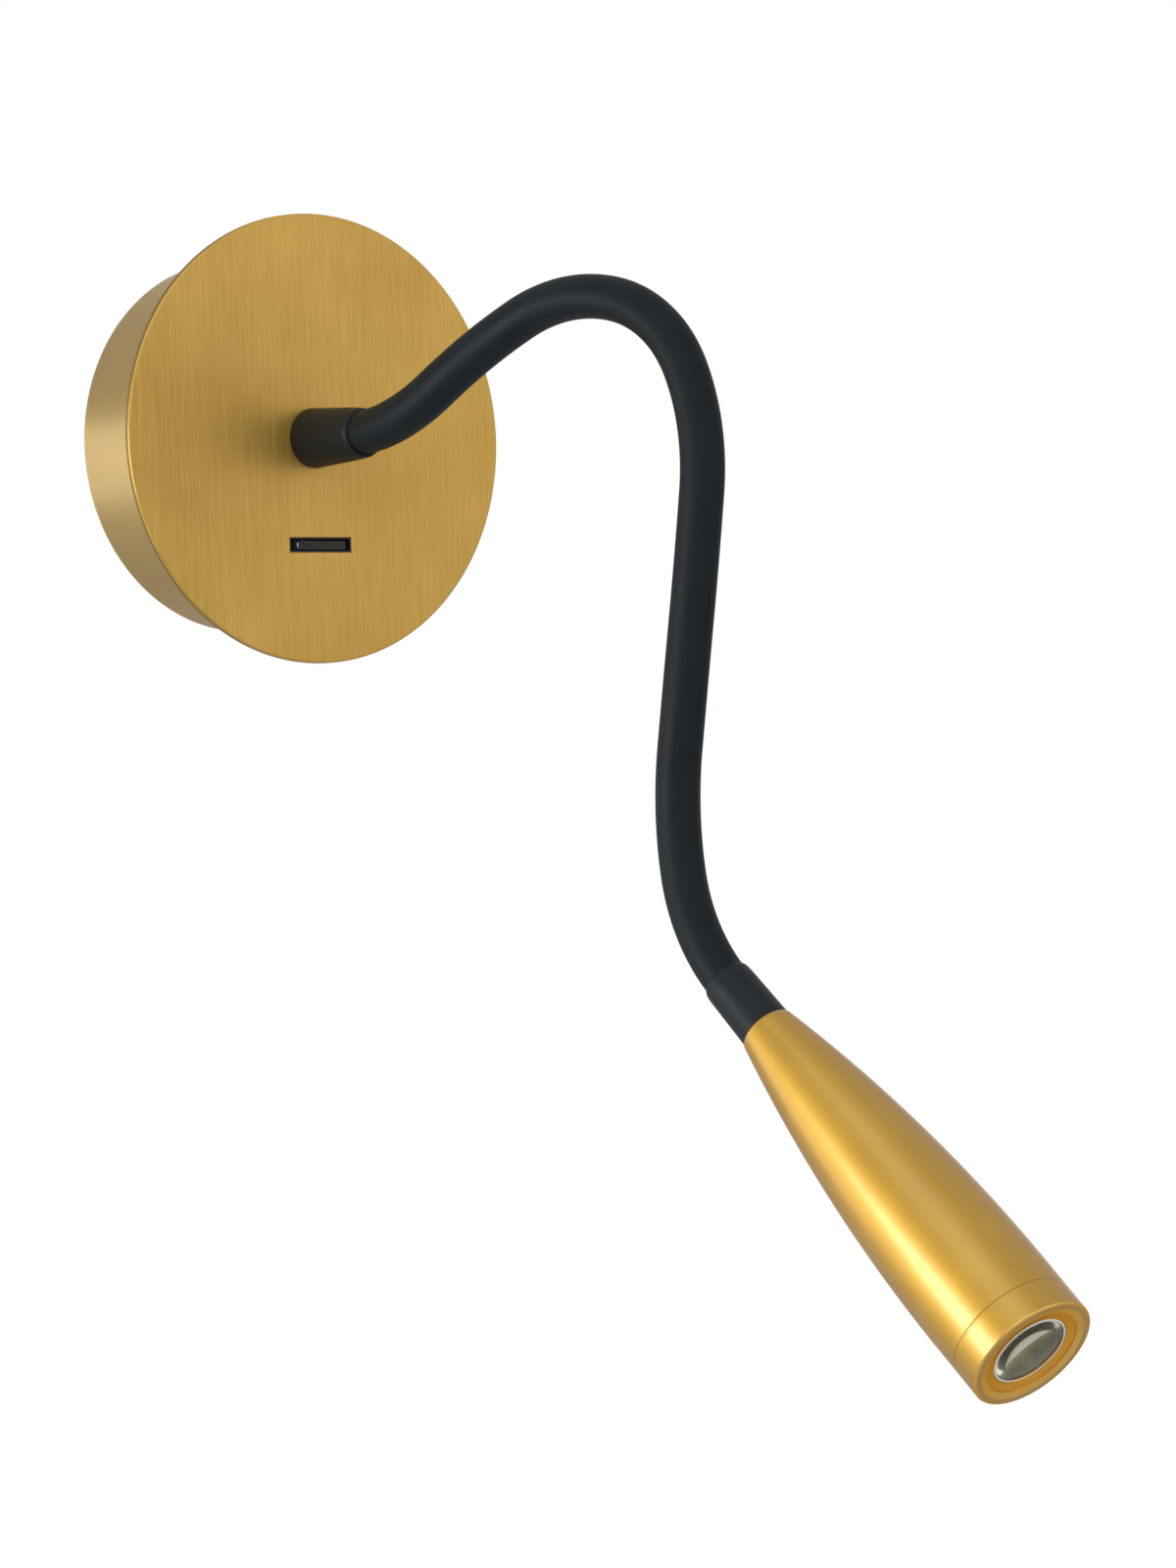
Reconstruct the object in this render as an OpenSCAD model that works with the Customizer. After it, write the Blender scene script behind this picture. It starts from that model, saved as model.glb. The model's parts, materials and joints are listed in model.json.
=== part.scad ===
// Flexible arm wall light: a round cover plate on a shallow casing, a bent gooseneck and a small lamp head.
// Millimetres. +Z is up, the wall is the plane y = 0, and the light stands out from it towards -Y.

/* [Cover plate] */
// Diameter of the round cover plate
plate_d = 100; // [94:1:140]
// Thickness of the cover plate
plate_t = 1.5; // [1:0.1:3]
// Rounding of the cover plate's front edge
plate_edge_r = 0.6; // [0.2:0.1:0.9]
// Diameter of the two studs behind the cover plate
stud_d = 3; // [2.5:0.1:4]
// How far the studs reach behind the casing's front wall
stud_reach = 4; // [3:0.5:8]
// Distance of the studs from the plate's centre
stud_ring_r = 33; // [30:0.5:35]

/* [Casing] */
// Outer diameter of the casing behind the plate
casing_d = 83; // [80:1:92]
// Depth of the casing, from the wall to the plate
casing_depth = 28.5; // [26:0.5:45]
// Thickness of the casing's wall
casing_wall = 1.2; // [0.8:0.1:2]
// Rounding of the casing's front edge
casing_edge_r = 1.2; // [0.5:0.1:2]

/* [Wall bracket] */
// Width of the bracket's strap
strap_w = 20; // [16:1:26]
// Thickness of the bracket's steel
strap_t = 1.5; // [1:0.1:2.5]
// Width of the two bent lugs
lug_w = 12; // [9:0.5:16]
// Steel left round the side screws in the lugs
lug_edge = 4; // [3:0.5:6]
// Distance between the two slots for the wall screws
wall_slot_pitch = 50; // [44:1:58]
// Width of the slots for the wall screws
wall_slot_w = 4.5; // [3.5:0.1:5.5]
// Length of the slots for the wall screws
wall_slot_len = 9; // [7:0.5:12]
// Diameter of the hole for the cable grommet
inlet_d = 10; // [8:0.5:11]
// How far the cable inlet lies below the centre
inlet_drop = 11; // [9.5:0.5:12]
// Bore of the cable grommet
grommet_bore = 6; // [4:0.5:7]
// Thickness of the grommet's flange
grommet_flange_t = 1.5; // [1:0.1:2.5]

/* [Side screws] */
// Thread diameter of the two side screws
side_screw_d = 3; // [2.5:0.1:4]
// Head diameter of the side screws
side_head_d = 5.5; // [5:0.1:7]
// Head height of the side screws
side_head_h = 1.6; // [1:0.1:2.5]
// Distance of the side screws from the wall
side_screw_out = 6; // [5:0.5:9]

/* [Switch] */
// Length of the switch slot
slot_l = 16.6; // [14:0.1:20]
// Height of the switch slot
slot_h = 3.2; // [2.8:0.1:4.5]
// How far the switch lies to the right of the centre
slot_side = 0.8; // [0:0.1:2]
// How far the switch lies below the centre
switch_drop = 23.7; // [20:0.1:27]
// Wall of the switch's frame in the slot, with its gap
frame_w = 0.35; // [0.3:0.05:0.5]
// How far the frame lies behind the plate's face
frame_sink = 0.1; // [0.05:0.05:0.3]
// Wall of the switch housing
housing_wall = 1.3; // [1:0.1:2]
// Depth of the switch housing
housing_depth = 10; // [8:0.5:14]
// Diameter of the rocker's pin
rocker_pin_d = 1.6; // [1.2:0.1:2]
// Tilt of the rocker to either side
rocker_tilt = 4; // [2:0.5:5]
// Width of the light mark on the rocker
mark_w = 0.8; // [0.4:0.1:1]

/* [Neck] */
// Diameter of the neck over its sleeve
neck_d = 9.8; // [9:0.1:11]
// Wall of the sleeve
sleeve_wall = 1; // [0.6:0.1:1.3]
// Bore of the wound core, for the leads
core_bore = 4.4; // [3:0.1:5]
// Length of one link of the neck
link_len = 27.8; // [24:0.1:36]
// Straight length of the neck in the base collar
neck_straight = 16; // [12:0.5:18]
// Straight length of the neck in front of the lamp head
neck_tail = 14.6; // [12:0.1:15]
// Gap between two links of the wound core
link_gap = 2.2; // [1.8:0.1:3]
// Length of the band that joins the two halves of a core link
band_len = 3; // [2:0.5:5]
// How much thicker the band is than the core
band_lift = 0.1; // [0.08:0.01:0.12]
// How much thicker the sleeve's glued ends are
sleeve_swell = 0.05; // [0.03:0.01:0.1]

/* [Neck fittings] */
// Thread diameter of the two end fittings
stem_d = 8; // [7:0.1:8.4]
// Length of the ferrule that holds an end of the core
ferrule_len = 4; // [3:0.5:6]
// Diameter of the washer inside the casing
washer_d = 16; // [14:0.5:18]
// Thickness of the washer
washer_t = 1; // [0.6:0.1:2]
// Width of the lock nut across its flats
nut_af = 12; // [11:0.5:14]
// Thickness of the lock nut
nut_t = 3; // [2:0.5:5]
// Thread left beyond the lock nut
stem_tail = 2; // [1:0.5:4]

/* [Collars] */
// Wall of the base collar at its tip
base_collar_wall = 0.5; // [0.4:0.05:1]
// How much wider the base collar is at the plate
base_collar_flare = 2.1; // [1:0.1:4]
// Length of the base collar
base_collar_len = 19.4; // [15:0.1:20]
// Wall of the collar where it meets the lamp head
head_collar_wall = 0.75; // [0.5:0.05:0.9]
// How much narrower the lamp head's collar is at its other end
head_collar_taper = 0.7; // [0.4:0.1:0.8]
// Length of the collar at the lamp head
head_collar_len = 15.9; // [12:0.1:17]

/* [Lamp head] */
// Largest diameter of the lamp head
head_d = 29.5; // [28:0.5:36]
// Diameter of the lamp head at its rear
head_rear_d = 12.3; // [12.2:0.1:15]
// Length of the shell
shell_len = 93.5; // [88:0.5:110]
// Length over which the shell tapers
taper_len = 86; // [76:0.5:90]
// Wall of the shell
shell_wall = 1.5; // [1:0.1:2]
// Solid length at the rear of the shell
shell_rear_wall = 6; // [5:0.5:10]
// Rounding of the shell's rear edge
shell_edge_r = 0.8; // [0.3:0.1:1]

/* [Front ring] */
// Visible length of the front ring
ring_len = 7.7; // [7:0.1:16]
// Rounding of the ring's front edge
ring_edge_r = 0.35; // [0.2:0.05:1]
// Wall of the ring's threaded spigot
spigot_wall = 1.2; // [0.8:0.1:1.6]
// Length of the threaded spigot inside the shell
spigot_len = 9; // [7:0.5:12]
// Depth of the dished face at the lens
dish_depth = 1.1; // [1:0.1:2]
// Width of the flat rim round the dished face
rim_w = 1.4; // [0.8:0.1:1.6]
// Diameter of the fine step inside the dished face
step_d = 22.7; // [21.6:0.1:23.8]
// Depth of the fine step behind the rim
step_depth = 0.35; // [0.2:0.05:0.5]
// Height of the fine step
step_h = 0.25; // [0.2:0.05:0.4]
// Thickness of the lip that holds the lens
lip_t = 1.2; // [0.8:0.1:2]

/* [Lens and light source] */
// Diameter of the lens where it shows
lens_d = 18.2; // [16:0.1:19.6]
// Width of the flat border round the lens's dome
lens_border = 0.6; // [0.3:0.1:1]
// How far the lens's flange reaches past the lip
lens_flange_w = 1.5; // [1:0.1:1.7]
// Thickness of the lens's flange
lens_flange_t = 1.5; // [1:0.1:2.5]
// How far the lens's edge lies behind the rim
lens_sink = 1.1; // [1:0.05:1.6]
// Height of the lens's dome
lens_dome_h = 1.6; // [1:0.1:2]
// How far the lens's back bulges
lens_bulge = 1.6; // [0.5:0.1:2]
// Thickness of the sealing ring behind the lens
gasket_t = 0.8; // [0.5:0.1:1.5]
// Diameter of the circuit board
board_d = 20; // [16:0.5:21]
// Thickness of the circuit board
board_t = 1.6; // [1:0.1:2]
// Side of the square light-emitting chip
chip_w = 3.5; // [3:0.1:5]
// Length of the heat sink behind its flange
sink_len = 16; // [10:0.5:24]
// Thickness of the heat sink's flange
sink_flange_t = 2; // [1.5:0.1:3]
// Width of the slots between the heat sink's fins
sink_slot_w = 1.6; // [1:0.1:2]

/* [Driver and terminal block] */
// Length of the driver's case
driver_l = 42; // [36:1:46]
// Height of the driver's case
driver_h = 19; // [15:0.5:20]
// Depth of the driver's case
driver_depth = 16; // [12:0.5:18]
// How far the driver's lower side lies above the centre
driver_up = 11.5; // [10.5:0.5:12.5]
// Length of the terminal block
block_l = 17; // [14:0.5:18]
// Height of the terminal block
block_h = 11; // [9:0.5:13]
// Depth of the terminal block
block_depth = 13; // [10:0.5:15]
// Distance of the terminal block's middle from the centre
block_side = 25; // [24:0.5:26]

/* [Clearances] */
// Radial clearance between a collar's bore and the sleeve
collar_clear = 0.25; // [0.2:0.05:0.4]
// Radial clearance between the sleeve and the wound core
core_clear = 0.2; // [0.1:0.05:0.4]
// Radial clearance of a screw or stem in a plain hole
hole_clear = 0.2; // [0.1:0.05:0.4]
// Radial clearance of a thread in its nut
thread_clear = 0.05; // [0.02:0.01:0.1]
// Radial clearance of the rocker's pin in its bearings
pin_clear = 0.08; // [0.03:0.01:0.1]
// Gap between the rocker and the frame's ends
rocker_end_gap = 0.55; // [0.55:0.05:0.9]
// Gap between the rocker and the frame's sides
rocker_side_gap = 0.25; // [0.25:0.05:0.5]
// Gap between the front wall's rim and the lugs
lug_clear = 0.3; // [0.2:0.05:0.6]
// Fine seam between the shell and the front ring
seam = 0.15; // [0.1:0.05:0.3]
// Gap round pieces that lie in a bore of the lamp head
head_clear = 0.1; // [0.05:0.05:0.2]

/* [Hidden] */
// Degrees that each link of the neck bends, upwards where positive
link_turn = [38, -10, -38.5, -50, -29.5, -1.5, 0.5, 17, 33.1];
// Degrees that the bending plane rolls about the neck before each link
link_roll = [22.5, -21, 0, 0, 0, 0, 0, 0, 3.65];
links = len(link_turn);
$fn = 96;
smooth = 720;
eps = 0.01;

plate_r = plate_d / 2;
plate_front = casing_depth + plate_t;
casing_r = casing_d / 2;
casing_in_r = casing_r - casing_wall;
floor_z = casing_depth - casing_wall;
stud_angle = 35;
stud_nut_af = stud_d + 2.5;
stud_nut_t = 2.4;

lug_face = sqrt(pow(casing_in_r, 2) - pow(lug_w / 2, 2)) - lug_clear;
lug_h = side_screw_out + lug_edge;
side_screw_end = lug_face - strap_t - 1;

pivot_z = floor_z - 1.7;
well_l = slot_l - 2 * frame_w;
well_h = slot_h - 2 * frame_w;
rocker_half = well_l / 2 - rocker_end_gap;
rocker_t = well_h - 2 * rocker_side_gap;
rocker_top = plate_front - pivot_z - rocker_half * sin(rocker_tilt);
mark_depth = 0.3;
mark_inset = 0.2;
mark_edge = 0.15;

neck_r = neck_d / 2;
sleeve_in_r = neck_r - sleeve_wall;
core_r = sleeve_in_r - core_clear;
core_in_r = core_bore / 2;
collar_in_r = neck_r + collar_clear;
tip_r = collar_in_r + base_collar_wall;
end_gap = 0.1;
stem_len = plate_t + casing_wall + washer_t + nut_t + stem_tail;

head_r = head_d / 2;
rear_r = head_rear_d / 2;
shell_drop = head_r - rear_r;
shell_arc_r = (pow(taper_len, 2) + pow(shell_drop, 2)) / (2 * shell_drop);
head_len = shell_len + ring_len;
thread_r = head_r - shell_wall - 0.3;
spigot_r = thread_r - head_clear;
bore_r = spigot_r - spigot_wall;
spigot_end = shell_len - spigot_len;
sink_seat = spigot_end - sink_flange_t;
sink_r = thread_r - 0.8;
board_z = spigot_end;
holder_z = board_z + board_t;
lip_z = head_len - dish_depth - lip_t;
lens_edge = head_len - lens_sink;
lens_r = lens_d / 2;
lens_flange_r = lens_r + lens_flange_w;
lip_r = lens_r + head_clear;
lens_back = lip_z - lens_flange_t;
gasket_back = lens_back - gasket_t;
dome_rim = lens_r - lens_border;
dome_r = (pow(dome_rim, 2) + pow(lens_dome_h, 2)) / (2 * lens_dome_h);
bulge_rim = lens_r - gasket_t / 2;
bulge_r = (pow(bulge_rim, 2) + pow(lens_bulge, 2)) / (2 * lens_bulge);

// Local z runs out of the wall, and local y runs up.
module outward() {
  rotate([90, 0, 0]) children();
}

module ring(r_out, r_in, h) {
  difference() {
    cylinder(r = r_out, h = h);
    translate([0, 0, -1]) cylinder(r = r_in, h = h + 2);
  }
}

module rounded_block(l, w, h, r) {
  linear_extrude(h) {
    square([l - 2 * r, w], center = true);
    square([l, w - 2 * r], center = true);
    for (x = [-1, 1], y = [-1, 1]) translate([x * (l / 2 - r), y * (w / 2 - r)]) circle(r = r);
  }
}

// A disc from z = 0 whose far edge is rounded.
module edged_disc(r, t, edge) {
  rotate_extrude() {
    square([r, t - edge]);
    square([r - edge, t]);
    intersection() {
      translate([r - edge, t - edge]) circle(r = edge);
      square([r, t]);
    }
  }
}

// Where a bend of this length and angle ends: local z runs along the neck and it bends towards local y.
module bent(turn, length) {
  if (turn == 0) {
    translate([0, 0, length]) children();
  } else {
    bend_r = length / (turn * PI / 180);
    translate([0, bend_r, 0]) rotate([-turn, 0, 0]) translate([0, -bend_r, 0]) children();
  }
}

// A tube that follows one bend.
module bend_tube(turn, length, r_out, r_in) {
  if (turn == 0) {
    ring(r_out, r_in, length);
  } else {
    bend_r = length / (abs(turn) * PI / 180);
    rotate([0, 0, turn > 0 ? 0 : 180])
      translate([0, bend_r, 0])
        rotate([90, 0, -90])
          rotate_extrude(angle = abs(turn))
            translate([bend_r, 0])
              difference() {
                circle(r = r_out);
                circle(r = r_in);
              }
  }
}

// Places its children where link n of the neck starts, and where the last one ends for n = links.
module at_link(n) {
  outward() translate([0, 0, plate_front + neck_straight]) at_next_link(n, 0) children();
}

module at_next_link(n, i) {
  if (i == n) {
    children();
  } else {
    rotate([0, 0, -link_roll[i]]) bent(link_turn[i], link_len) at_next_link(n, i + 1) children();
  }
}

module at_head() {
  at_link(links) translate([0, 0, neck_tail]) children();
}

module fitting(length) {
  ring(neck_r, core_in_r, ferrule_len);
  translate([0, 0, -length]) ring(stem_d / 2, core_in_r, length + eps);
}

// Base

module stud_places() {
  for (side = [-1, 1]) {
    translate([side * stud_ring_r * cos(stud_angle), -stud_ring_r * sin(stud_angle), 0]) children();
  }
}

module cover_plate() {
  color("#c19c50") outward() {
    difference() {
      translate([0, 0, casing_depth]) edged_disc(plate_r, plate_t, plate_edge_r);
      translate([0, 0, casing_depth - 1]) cylinder(r = stem_d / 2 + hole_clear, h = plate_t + 2);
      translate([slot_side - slot_l / 2, -switch_drop - slot_h / 2, casing_depth - 1])
        cube([slot_l, slot_h, plate_t + 2]);
    }
    stud_places() translate([0, 0, floor_z - stud_reach])
      cylinder(r = stud_d / 2, h = casing_wall + stud_reach + eps);
  }
}

module stud_nut(side) {
  color("#b8bcc0") outward() {
    translate([side * stud_ring_r * cos(stud_angle), -stud_ring_r * sin(stud_angle), floor_z - stud_nut_t])
      difference() {
        cylinder(d = stud_nut_af / cos(30), h = stud_nut_t, $fn = 6);
        translate([0, 0, -1]) cylinder(r = stud_d / 2 + thread_clear, h = stud_nut_t + 2);
      }
  }
}

module casing_shell() {
  color("#a9894f") outward() difference() {
    edged_disc(casing_r, casing_depth, casing_edge_r);
    translate([0, 0, -1]) cylinder(r = casing_in_r, h = floor_z + 1);
    cylinder(r = stem_d / 2 + hole_clear, h = casing_depth + 1);
    translate([slot_side - slot_l / 2, -switch_drop - slot_h / 2, 0])
      cube([slot_l, slot_h, casing_depth + 1]);
    stud_places() cylinder(r = stud_d / 2 + hole_clear, h = casing_depth + 1);
    for (side = [-1, 1]) {
      translate([0, 0, side_screw_out]) rotate([-side * 90, 0, 0])
        cylinder(r = side_screw_d / 2 + hole_clear, h = casing_r + 1);
    }
  }
}

// The strap narrows towards its two lugs.
module strap_outline() {
  taper = (strap_w - lug_w) / 2;
  polygon([
    [-lug_w / 2, -lug_face], [lug_w / 2, -lug_face], [strap_w / 2, -lug_face + taper],
    [strap_w / 2, lug_face - taper], [lug_w / 2, lug_face], [-lug_w / 2, lug_face],
    [-strap_w / 2, lug_face - taper], [-strap_w / 2, -lug_face + taper]
  ]);
}

module wall_bracket() {
  color("#b4b8bc") outward() difference() {
    union() {
      linear_extrude(strap_t) strap_outline();
      for (side = [0, 180]) rotate([0, 0, side])
        translate([-lug_w / 2, lug_face - strap_t, 0]) cube([lug_w, strap_t, lug_h]);
    }
    for (side = [-1, 1]) translate([0, side * wall_slot_pitch / 2, -1]) linear_extrude(strap_t + 2) {
      square([wall_slot_w, wall_slot_len - wall_slot_w], center = true);
      for (end = [-1, 1]) translate([0, end * (wall_slot_len - wall_slot_w) / 2]) circle(r = wall_slot_w / 2);
    }
    translate([0, -inlet_drop, -1]) cylinder(r = inlet_d / 2, h = strap_t + 2);
    for (side = [-1, 1]) translate([0, 0, side_screw_out]) rotate([-side * 90, 0, 0])
      cylinder(r = side_screw_d / 2 + thread_clear, h = casing_r);
  }
}

module side_screw(side) {
  color("#c0a050") outward() translate([0, 0, side_screw_out]) rotate([-side * 90, 0, 0]) difference() {
    union() {
      translate([0, 0, side_screw_end]) cylinder(r = side_screw_d / 2, h = casing_r - side_screw_end + eps);
      translate([0, 0, casing_r]) edged_disc(side_head_d / 2, side_head_h, 0.5);
    }
    translate([-side_head_d / 2, -0.35, casing_r + side_head_h - 0.8]) cube([side_head_d, 0.7, 1]);
    translate([-0.35, -side_head_d / 2, casing_r + side_head_h - 0.8]) cube([0.7, side_head_d, 1]);
  }
}

module cable_grommet() {
  color("#26282a") outward() translate([0, -inlet_drop, 0]) difference() {
    union() {
      cylinder(r = inlet_d / 2 - thread_clear, h = strap_t + eps);
      translate([0, 0, strap_t]) edged_disc(inlet_d / 2 + 1.5, grommet_flange_t, 0.5);
    }
    translate([0, 0, -1]) cylinder(r = grommet_bore / 2, h = strap_t + grommet_flange_t + 2);
  }
}

module terminal_block() {
  pole_pitch = block_l / 3;
  screw_hole_r = pole_pitch * 0.3;
  wire_hole_r = pole_pitch / 4;
  groove_w = pole_pitch / 7;
  color("#e4e2da") outward() translate([-block_side, 0, floor_z - block_depth]) difference() {
    rounded_block(block_l, block_h, block_depth, block_h / 11);
    for (pole = [-1, 0, 1]) translate([pole * pole_pitch, 0, 0]) {
      translate([0, 0, -1]) cylinder(r = screw_hole_r, h = block_depth * 0.3 + 1);
      translate([0, -block_h, block_depth / 2]) rotate([-90, 0, 0]) cylinder(r = wire_hole_r, h = 2 * block_h);
    }
    for (wall = [-1, 1]) translate([(wall * pole_pitch - groove_w) / 2, -block_h, -1])
      cube([groove_w, 2 * block_h, block_depth / 6 + 1]);
  }
}

module driver_case() {
  corner_r = driver_h / 10;
  lid_t = driver_depth / 10;
  groove = lid_t / 4;
  lead_hole_r = driver_h / 12;
  lead_hole_depth = driver_l / 14;
  color("#dcdcd8") outward() translate([0, driver_up + driver_h / 2, floor_z - driver_depth]) difference() {
    rounded_block(driver_l, driver_h, driver_depth, corner_r);
    translate([0, 0, lid_t]) difference() {
      rounded_block(driver_l + 2, driver_h + 2, groove, corner_r);
      translate([0, 0, -1])
        rounded_block(driver_l - 2 * groove, driver_h - 2 * groove, groove + 2, corner_r - groove);
    }
    for (side = [-1, 1], row = [-1, 1])
      translate([side * (driver_l / 2 - lead_hole_depth), row * driver_h / 6, driver_depth * 0.56])
        rotate([0, side * 90, 0]) cylinder(r = lead_hole_r, h = 2 * lead_hole_depth);
  }
}

// Switch

module at_rocker() {
  outward() translate([slot_side, -switch_drop, pivot_z]) children();
}

// A box behind the casing's floor, with a thin frame that reaches through the slot.
module switch_housing() {
  outer_l = slot_l + 2 * housing_wall;
  outer_h = slot_h + 2 * housing_wall;
  front_z = floor_z - pivot_z;
  back_z = front_z - housing_depth;
  frame_l = slot_l - 2 * thread_clear;
  frame_h = slot_h - 2 * thread_clear;
  frame_depth = plate_front - floor_z - frame_sink;
  blade_pitch = slot_l * 0.6;
  blade_w = slot_h;
  blade_t = slot_h / 4;
  blade_l = slot_h + 0.3;
  color("#1c1e20") at_rocker() difference() {
    union() {
      translate([-outer_l / 2, -outer_h / 2, back_z]) cube([outer_l, outer_h, housing_depth]);
      translate([-frame_l / 2, -frame_h / 2, front_z - eps]) cube([frame_l, frame_h, frame_depth + eps]);
      for (blade = [-1, 1]) translate([(blade * blade_pitch - blade_t) / 2, -blade_w / 2, back_z - blade_l])
        cube([blade_t, blade_w, blade_l + eps]);
    }
    translate([-well_l / 2, -well_h / 2, back_z + housing_depth / 2]) cube([well_l, well_h, housing_depth]);
    translate([0, -outer_h, 0]) rotate([-90, 0, 0])
      cylinder(r = rocker_pin_d / 2 + pin_clear, h = 2 * outer_h);
  }
}

// The rocker's outline, with its pin at the origin and a shallow V as its face.
module rocker_outline() {
  valley = rocker_half * tan(rocker_tilt);
  rocker_keel = rocker_pin_d * 0.75;
  rocker_low = rocker_keel / 2;
  polygon([
    [-rocker_half, rocker_top], [0, rocker_top - valley], [rocker_half, rocker_top],
    [rocker_half, rocker_low], [rocker_half / 2, -rocker_keel], [-rocker_half / 2, -rocker_keel],
    [-rocker_half, rocker_low]
  ]);
}

module tilted() {
  rotate([0, rocker_tilt, 0]) children();
}

module mark_block(depth) {
  top = rocker_top - mark_inset * tan(rocker_tilt);
  translate([-rocker_half + mark_inset, mark_edge - rocker_t / 2, top - depth])
    rotate([0, rocker_tilt, 0]) cube([mark_w, rocker_t - 2 * mark_edge, depth + 0.5]);
}

module switch_rocker() {
  color("#26292b") at_rocker() tilted() difference() {
    union() {
      rotate([90, 0, 0]) translate([0, 0, -rocker_t / 2]) linear_extrude(rocker_t) rocker_outline();
      rotate([90, 0, 0]) translate([0, 0, -slot_h / 2 - housing_wall])
        cylinder(r = rocker_pin_d / 2, h = slot_h + 2 * housing_wall);
    }
    mark_block(mark_depth);
  }
}

module switch_mark() {
  color("#cfd3d6") at_rocker() tilted() intersection() {
    mark_block(mark_depth);
    rotate([90, 0, 0]) translate([0, 0, -rocker_t / 2]) linear_extrude(rocker_t) rocker_outline();
  }
}

// Neck

module neck_fitting() {
  color("#b9a46a") outward() translate([0, 0, plate_front]) fitting(stem_len);
}

module neck_washer() {
  color("#b8bcc0") outward() translate([0, 0, floor_z - washer_t])
    ring(washer_d / 2, stem_d / 2 + hole_clear, washer_t);
}

module neck_nut() {
  color("#b8bcc0") outward() translate([0, 0, floor_z - washer_t - nut_t]) difference() {
    cylinder(d = nut_af / cos(30), h = nut_t, $fn = 6);
    translate([0, 0, -1]) cylinder(r = stem_d / 2 + thread_clear, h = nut_t + 2);
  }
}

module base_collar() {
  tip_edge = 0.35;
  foot_r = tip_r + base_collar_flare / 2;
  color("#23272a") outward() translate([0, 0, plate_front]) rotate_extrude() polygon([
    [collar_in_r, 0], [foot_r, 0], [tip_r, base_collar_len - tip_edge],
    [tip_r - tip_edge, base_collar_len], [collar_in_r, base_collar_len]
  ]);
}

// Turns the bending plane of link n, counted from 0.
module rolled(n) {
  rotate([0, 0, -link_roll[n]]) children();
}

// The wound core from the start of link n to just short of its middle.
module core_start(n) {
  share = 0.5 - link_gap / link_len / 2;
  at_link(n) rolled(n) bend_tube(link_turn[n] * share, link_len * share, core_r, core_in_r);
}

// The wound core from just past the middle of link n to its end.
module core_end(n) {
  share = 0.5 - link_gap / link_len / 2;
  at_link(n) rolled(n) bent(link_turn[n] * (1 - share), link_len * (1 - share))
    bend_tube(link_turn[n] * share, link_len * share, core_r, core_in_r);
}

// The band round the core where link n starts.
module core_band(n) {
  at_link(n) translate([0, 0, -band_len / 2]) ring(core_r + band_lift, core_in_r - band_lift, band_len);
}

module core_root() {
  color("#9aa0a4") {
    outward() translate([0, 0, plate_front + ferrule_len])
      ring(core_r, core_in_r, neck_straight - ferrule_len - band_len / 4);
    core_band(0);
    core_start(0);
  }
}

// The wound core from the middle of link n - 1 to the middle of link n.
module core_link(n) {
  color("#9aa0a4") {
    core_end(n - 1);
    core_band(n);
    core_start(n);
  }
}

module core_tip() {
  color("#9aa0a4") {
    core_end(links - 1);
    core_band(links);
    at_link(links) translate([0, 0, band_len / 4])
      ring(core_r, core_in_r, neck_tail - ferrule_len - band_len / 4);
  }
}

// The glued end of the sleeve, which laps a little over the link's own length.
module sleeve_end(length) {
  ring(neck_r + sleeve_swell, sleeve_in_r - sleeve_swell, length);
}

// One length of the sleeve: the first and the last also reach into their collars.
module sleeve(n) {
  lap = 0.5;
  color("#262b2f") {
    if (n == 0) {
      outward() translate([0, 0, plate_front + ferrule_len + end_gap])
        sleeve_end(neck_straight - ferrule_len - end_gap + lap);
    }
    at_link(n) rolled(n) bend_tube(link_turn[n], link_len, neck_r, sleeve_in_r);
    if (n == links - 1) {
      at_link(links) translate([0, 0, -lap]) sleeve_end(neck_tail - ferrule_len - end_gap + lap);
    }
  }
}

// Lamp head: local z runs from its rear to its front.

module head_fitting() {
  color("#b9a46a") at_head() rotate([180, 0, 0]) fitting(shell_rear_wall + 1);
}

module head_collar() {
  outer_r = collar_in_r + head_collar_wall;
  start_r = outer_r - head_collar_taper / 2;
  lip = 0.3;
  color("#23272a") at_head() translate([0, 0, -head_collar_len]) rotate_extrude() polygon([
    [collar_in_r, 0], [start_r - lip, 0], [start_r - lip / 4, lip / 2], [start_r, lip * 1.5],
    [outer_r, head_collar_len], [collar_in_r, head_collar_len]
  ]);
}

// The shell's side, a single long arc that runs out into a short straight length.
module shell_side(inset) {
  intersection() {
    translate([head_r - shell_arc_r, taper_len]) circle(r = shell_arc_r - inset, $fn = smooth);
    square([head_r, taper_len]);
  }
  translate([0, taper_len]) square([head_r - inset, shell_len - taper_len]);
}

module head_shell() {
  color("#c49a40") at_head() rotate_extrude() difference() {
    intersection() {
      shell_side(0);
      union() {
        translate([0, shell_edge_r]) square([head_r, shell_len - seam - shell_edge_r]);
        square([rear_r - shell_edge_r, shell_edge_r + eps]);
        translate([rear_r - shell_edge_r, shell_edge_r]) circle(r = shell_edge_r);
      }
    }
    intersection() {
      shell_side(shell_wall);
      translate([0, shell_rear_wall]) square([sink_r, shell_len]);
    }
    translate([0, sink_seat]) square([thread_r, shell_len]);
    translate([0, -1]) square([stem_d / 2 + thread_clear, shell_rear_wall + 2]);
  }
}

module heat_sink() {
  fins = 12;
  core = 5;
  color("#c8ccd0") at_head() difference() {
    union() {
      translate([0, 0, sink_seat]) cylinder(r = thread_r - head_clear, h = sink_flange_t);
      translate([0, 0, sink_seat - sink_len]) cylinder(r = sink_r - 2 * head_clear, h = sink_len + eps);
    }
    for (fin = [0 : fins - 1]) rotate([0, 0, fin * 360 / fins])
      translate([core, -sink_slot_w / 2, sink_seat - sink_len - 1]) cube([head_r, sink_slot_w, sink_len - 1]);
    translate([0, 0, sink_seat - sink_len - 1]) cylinder(r = 2, h = sink_len + sink_flange_t + 2);
  }
}

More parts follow.
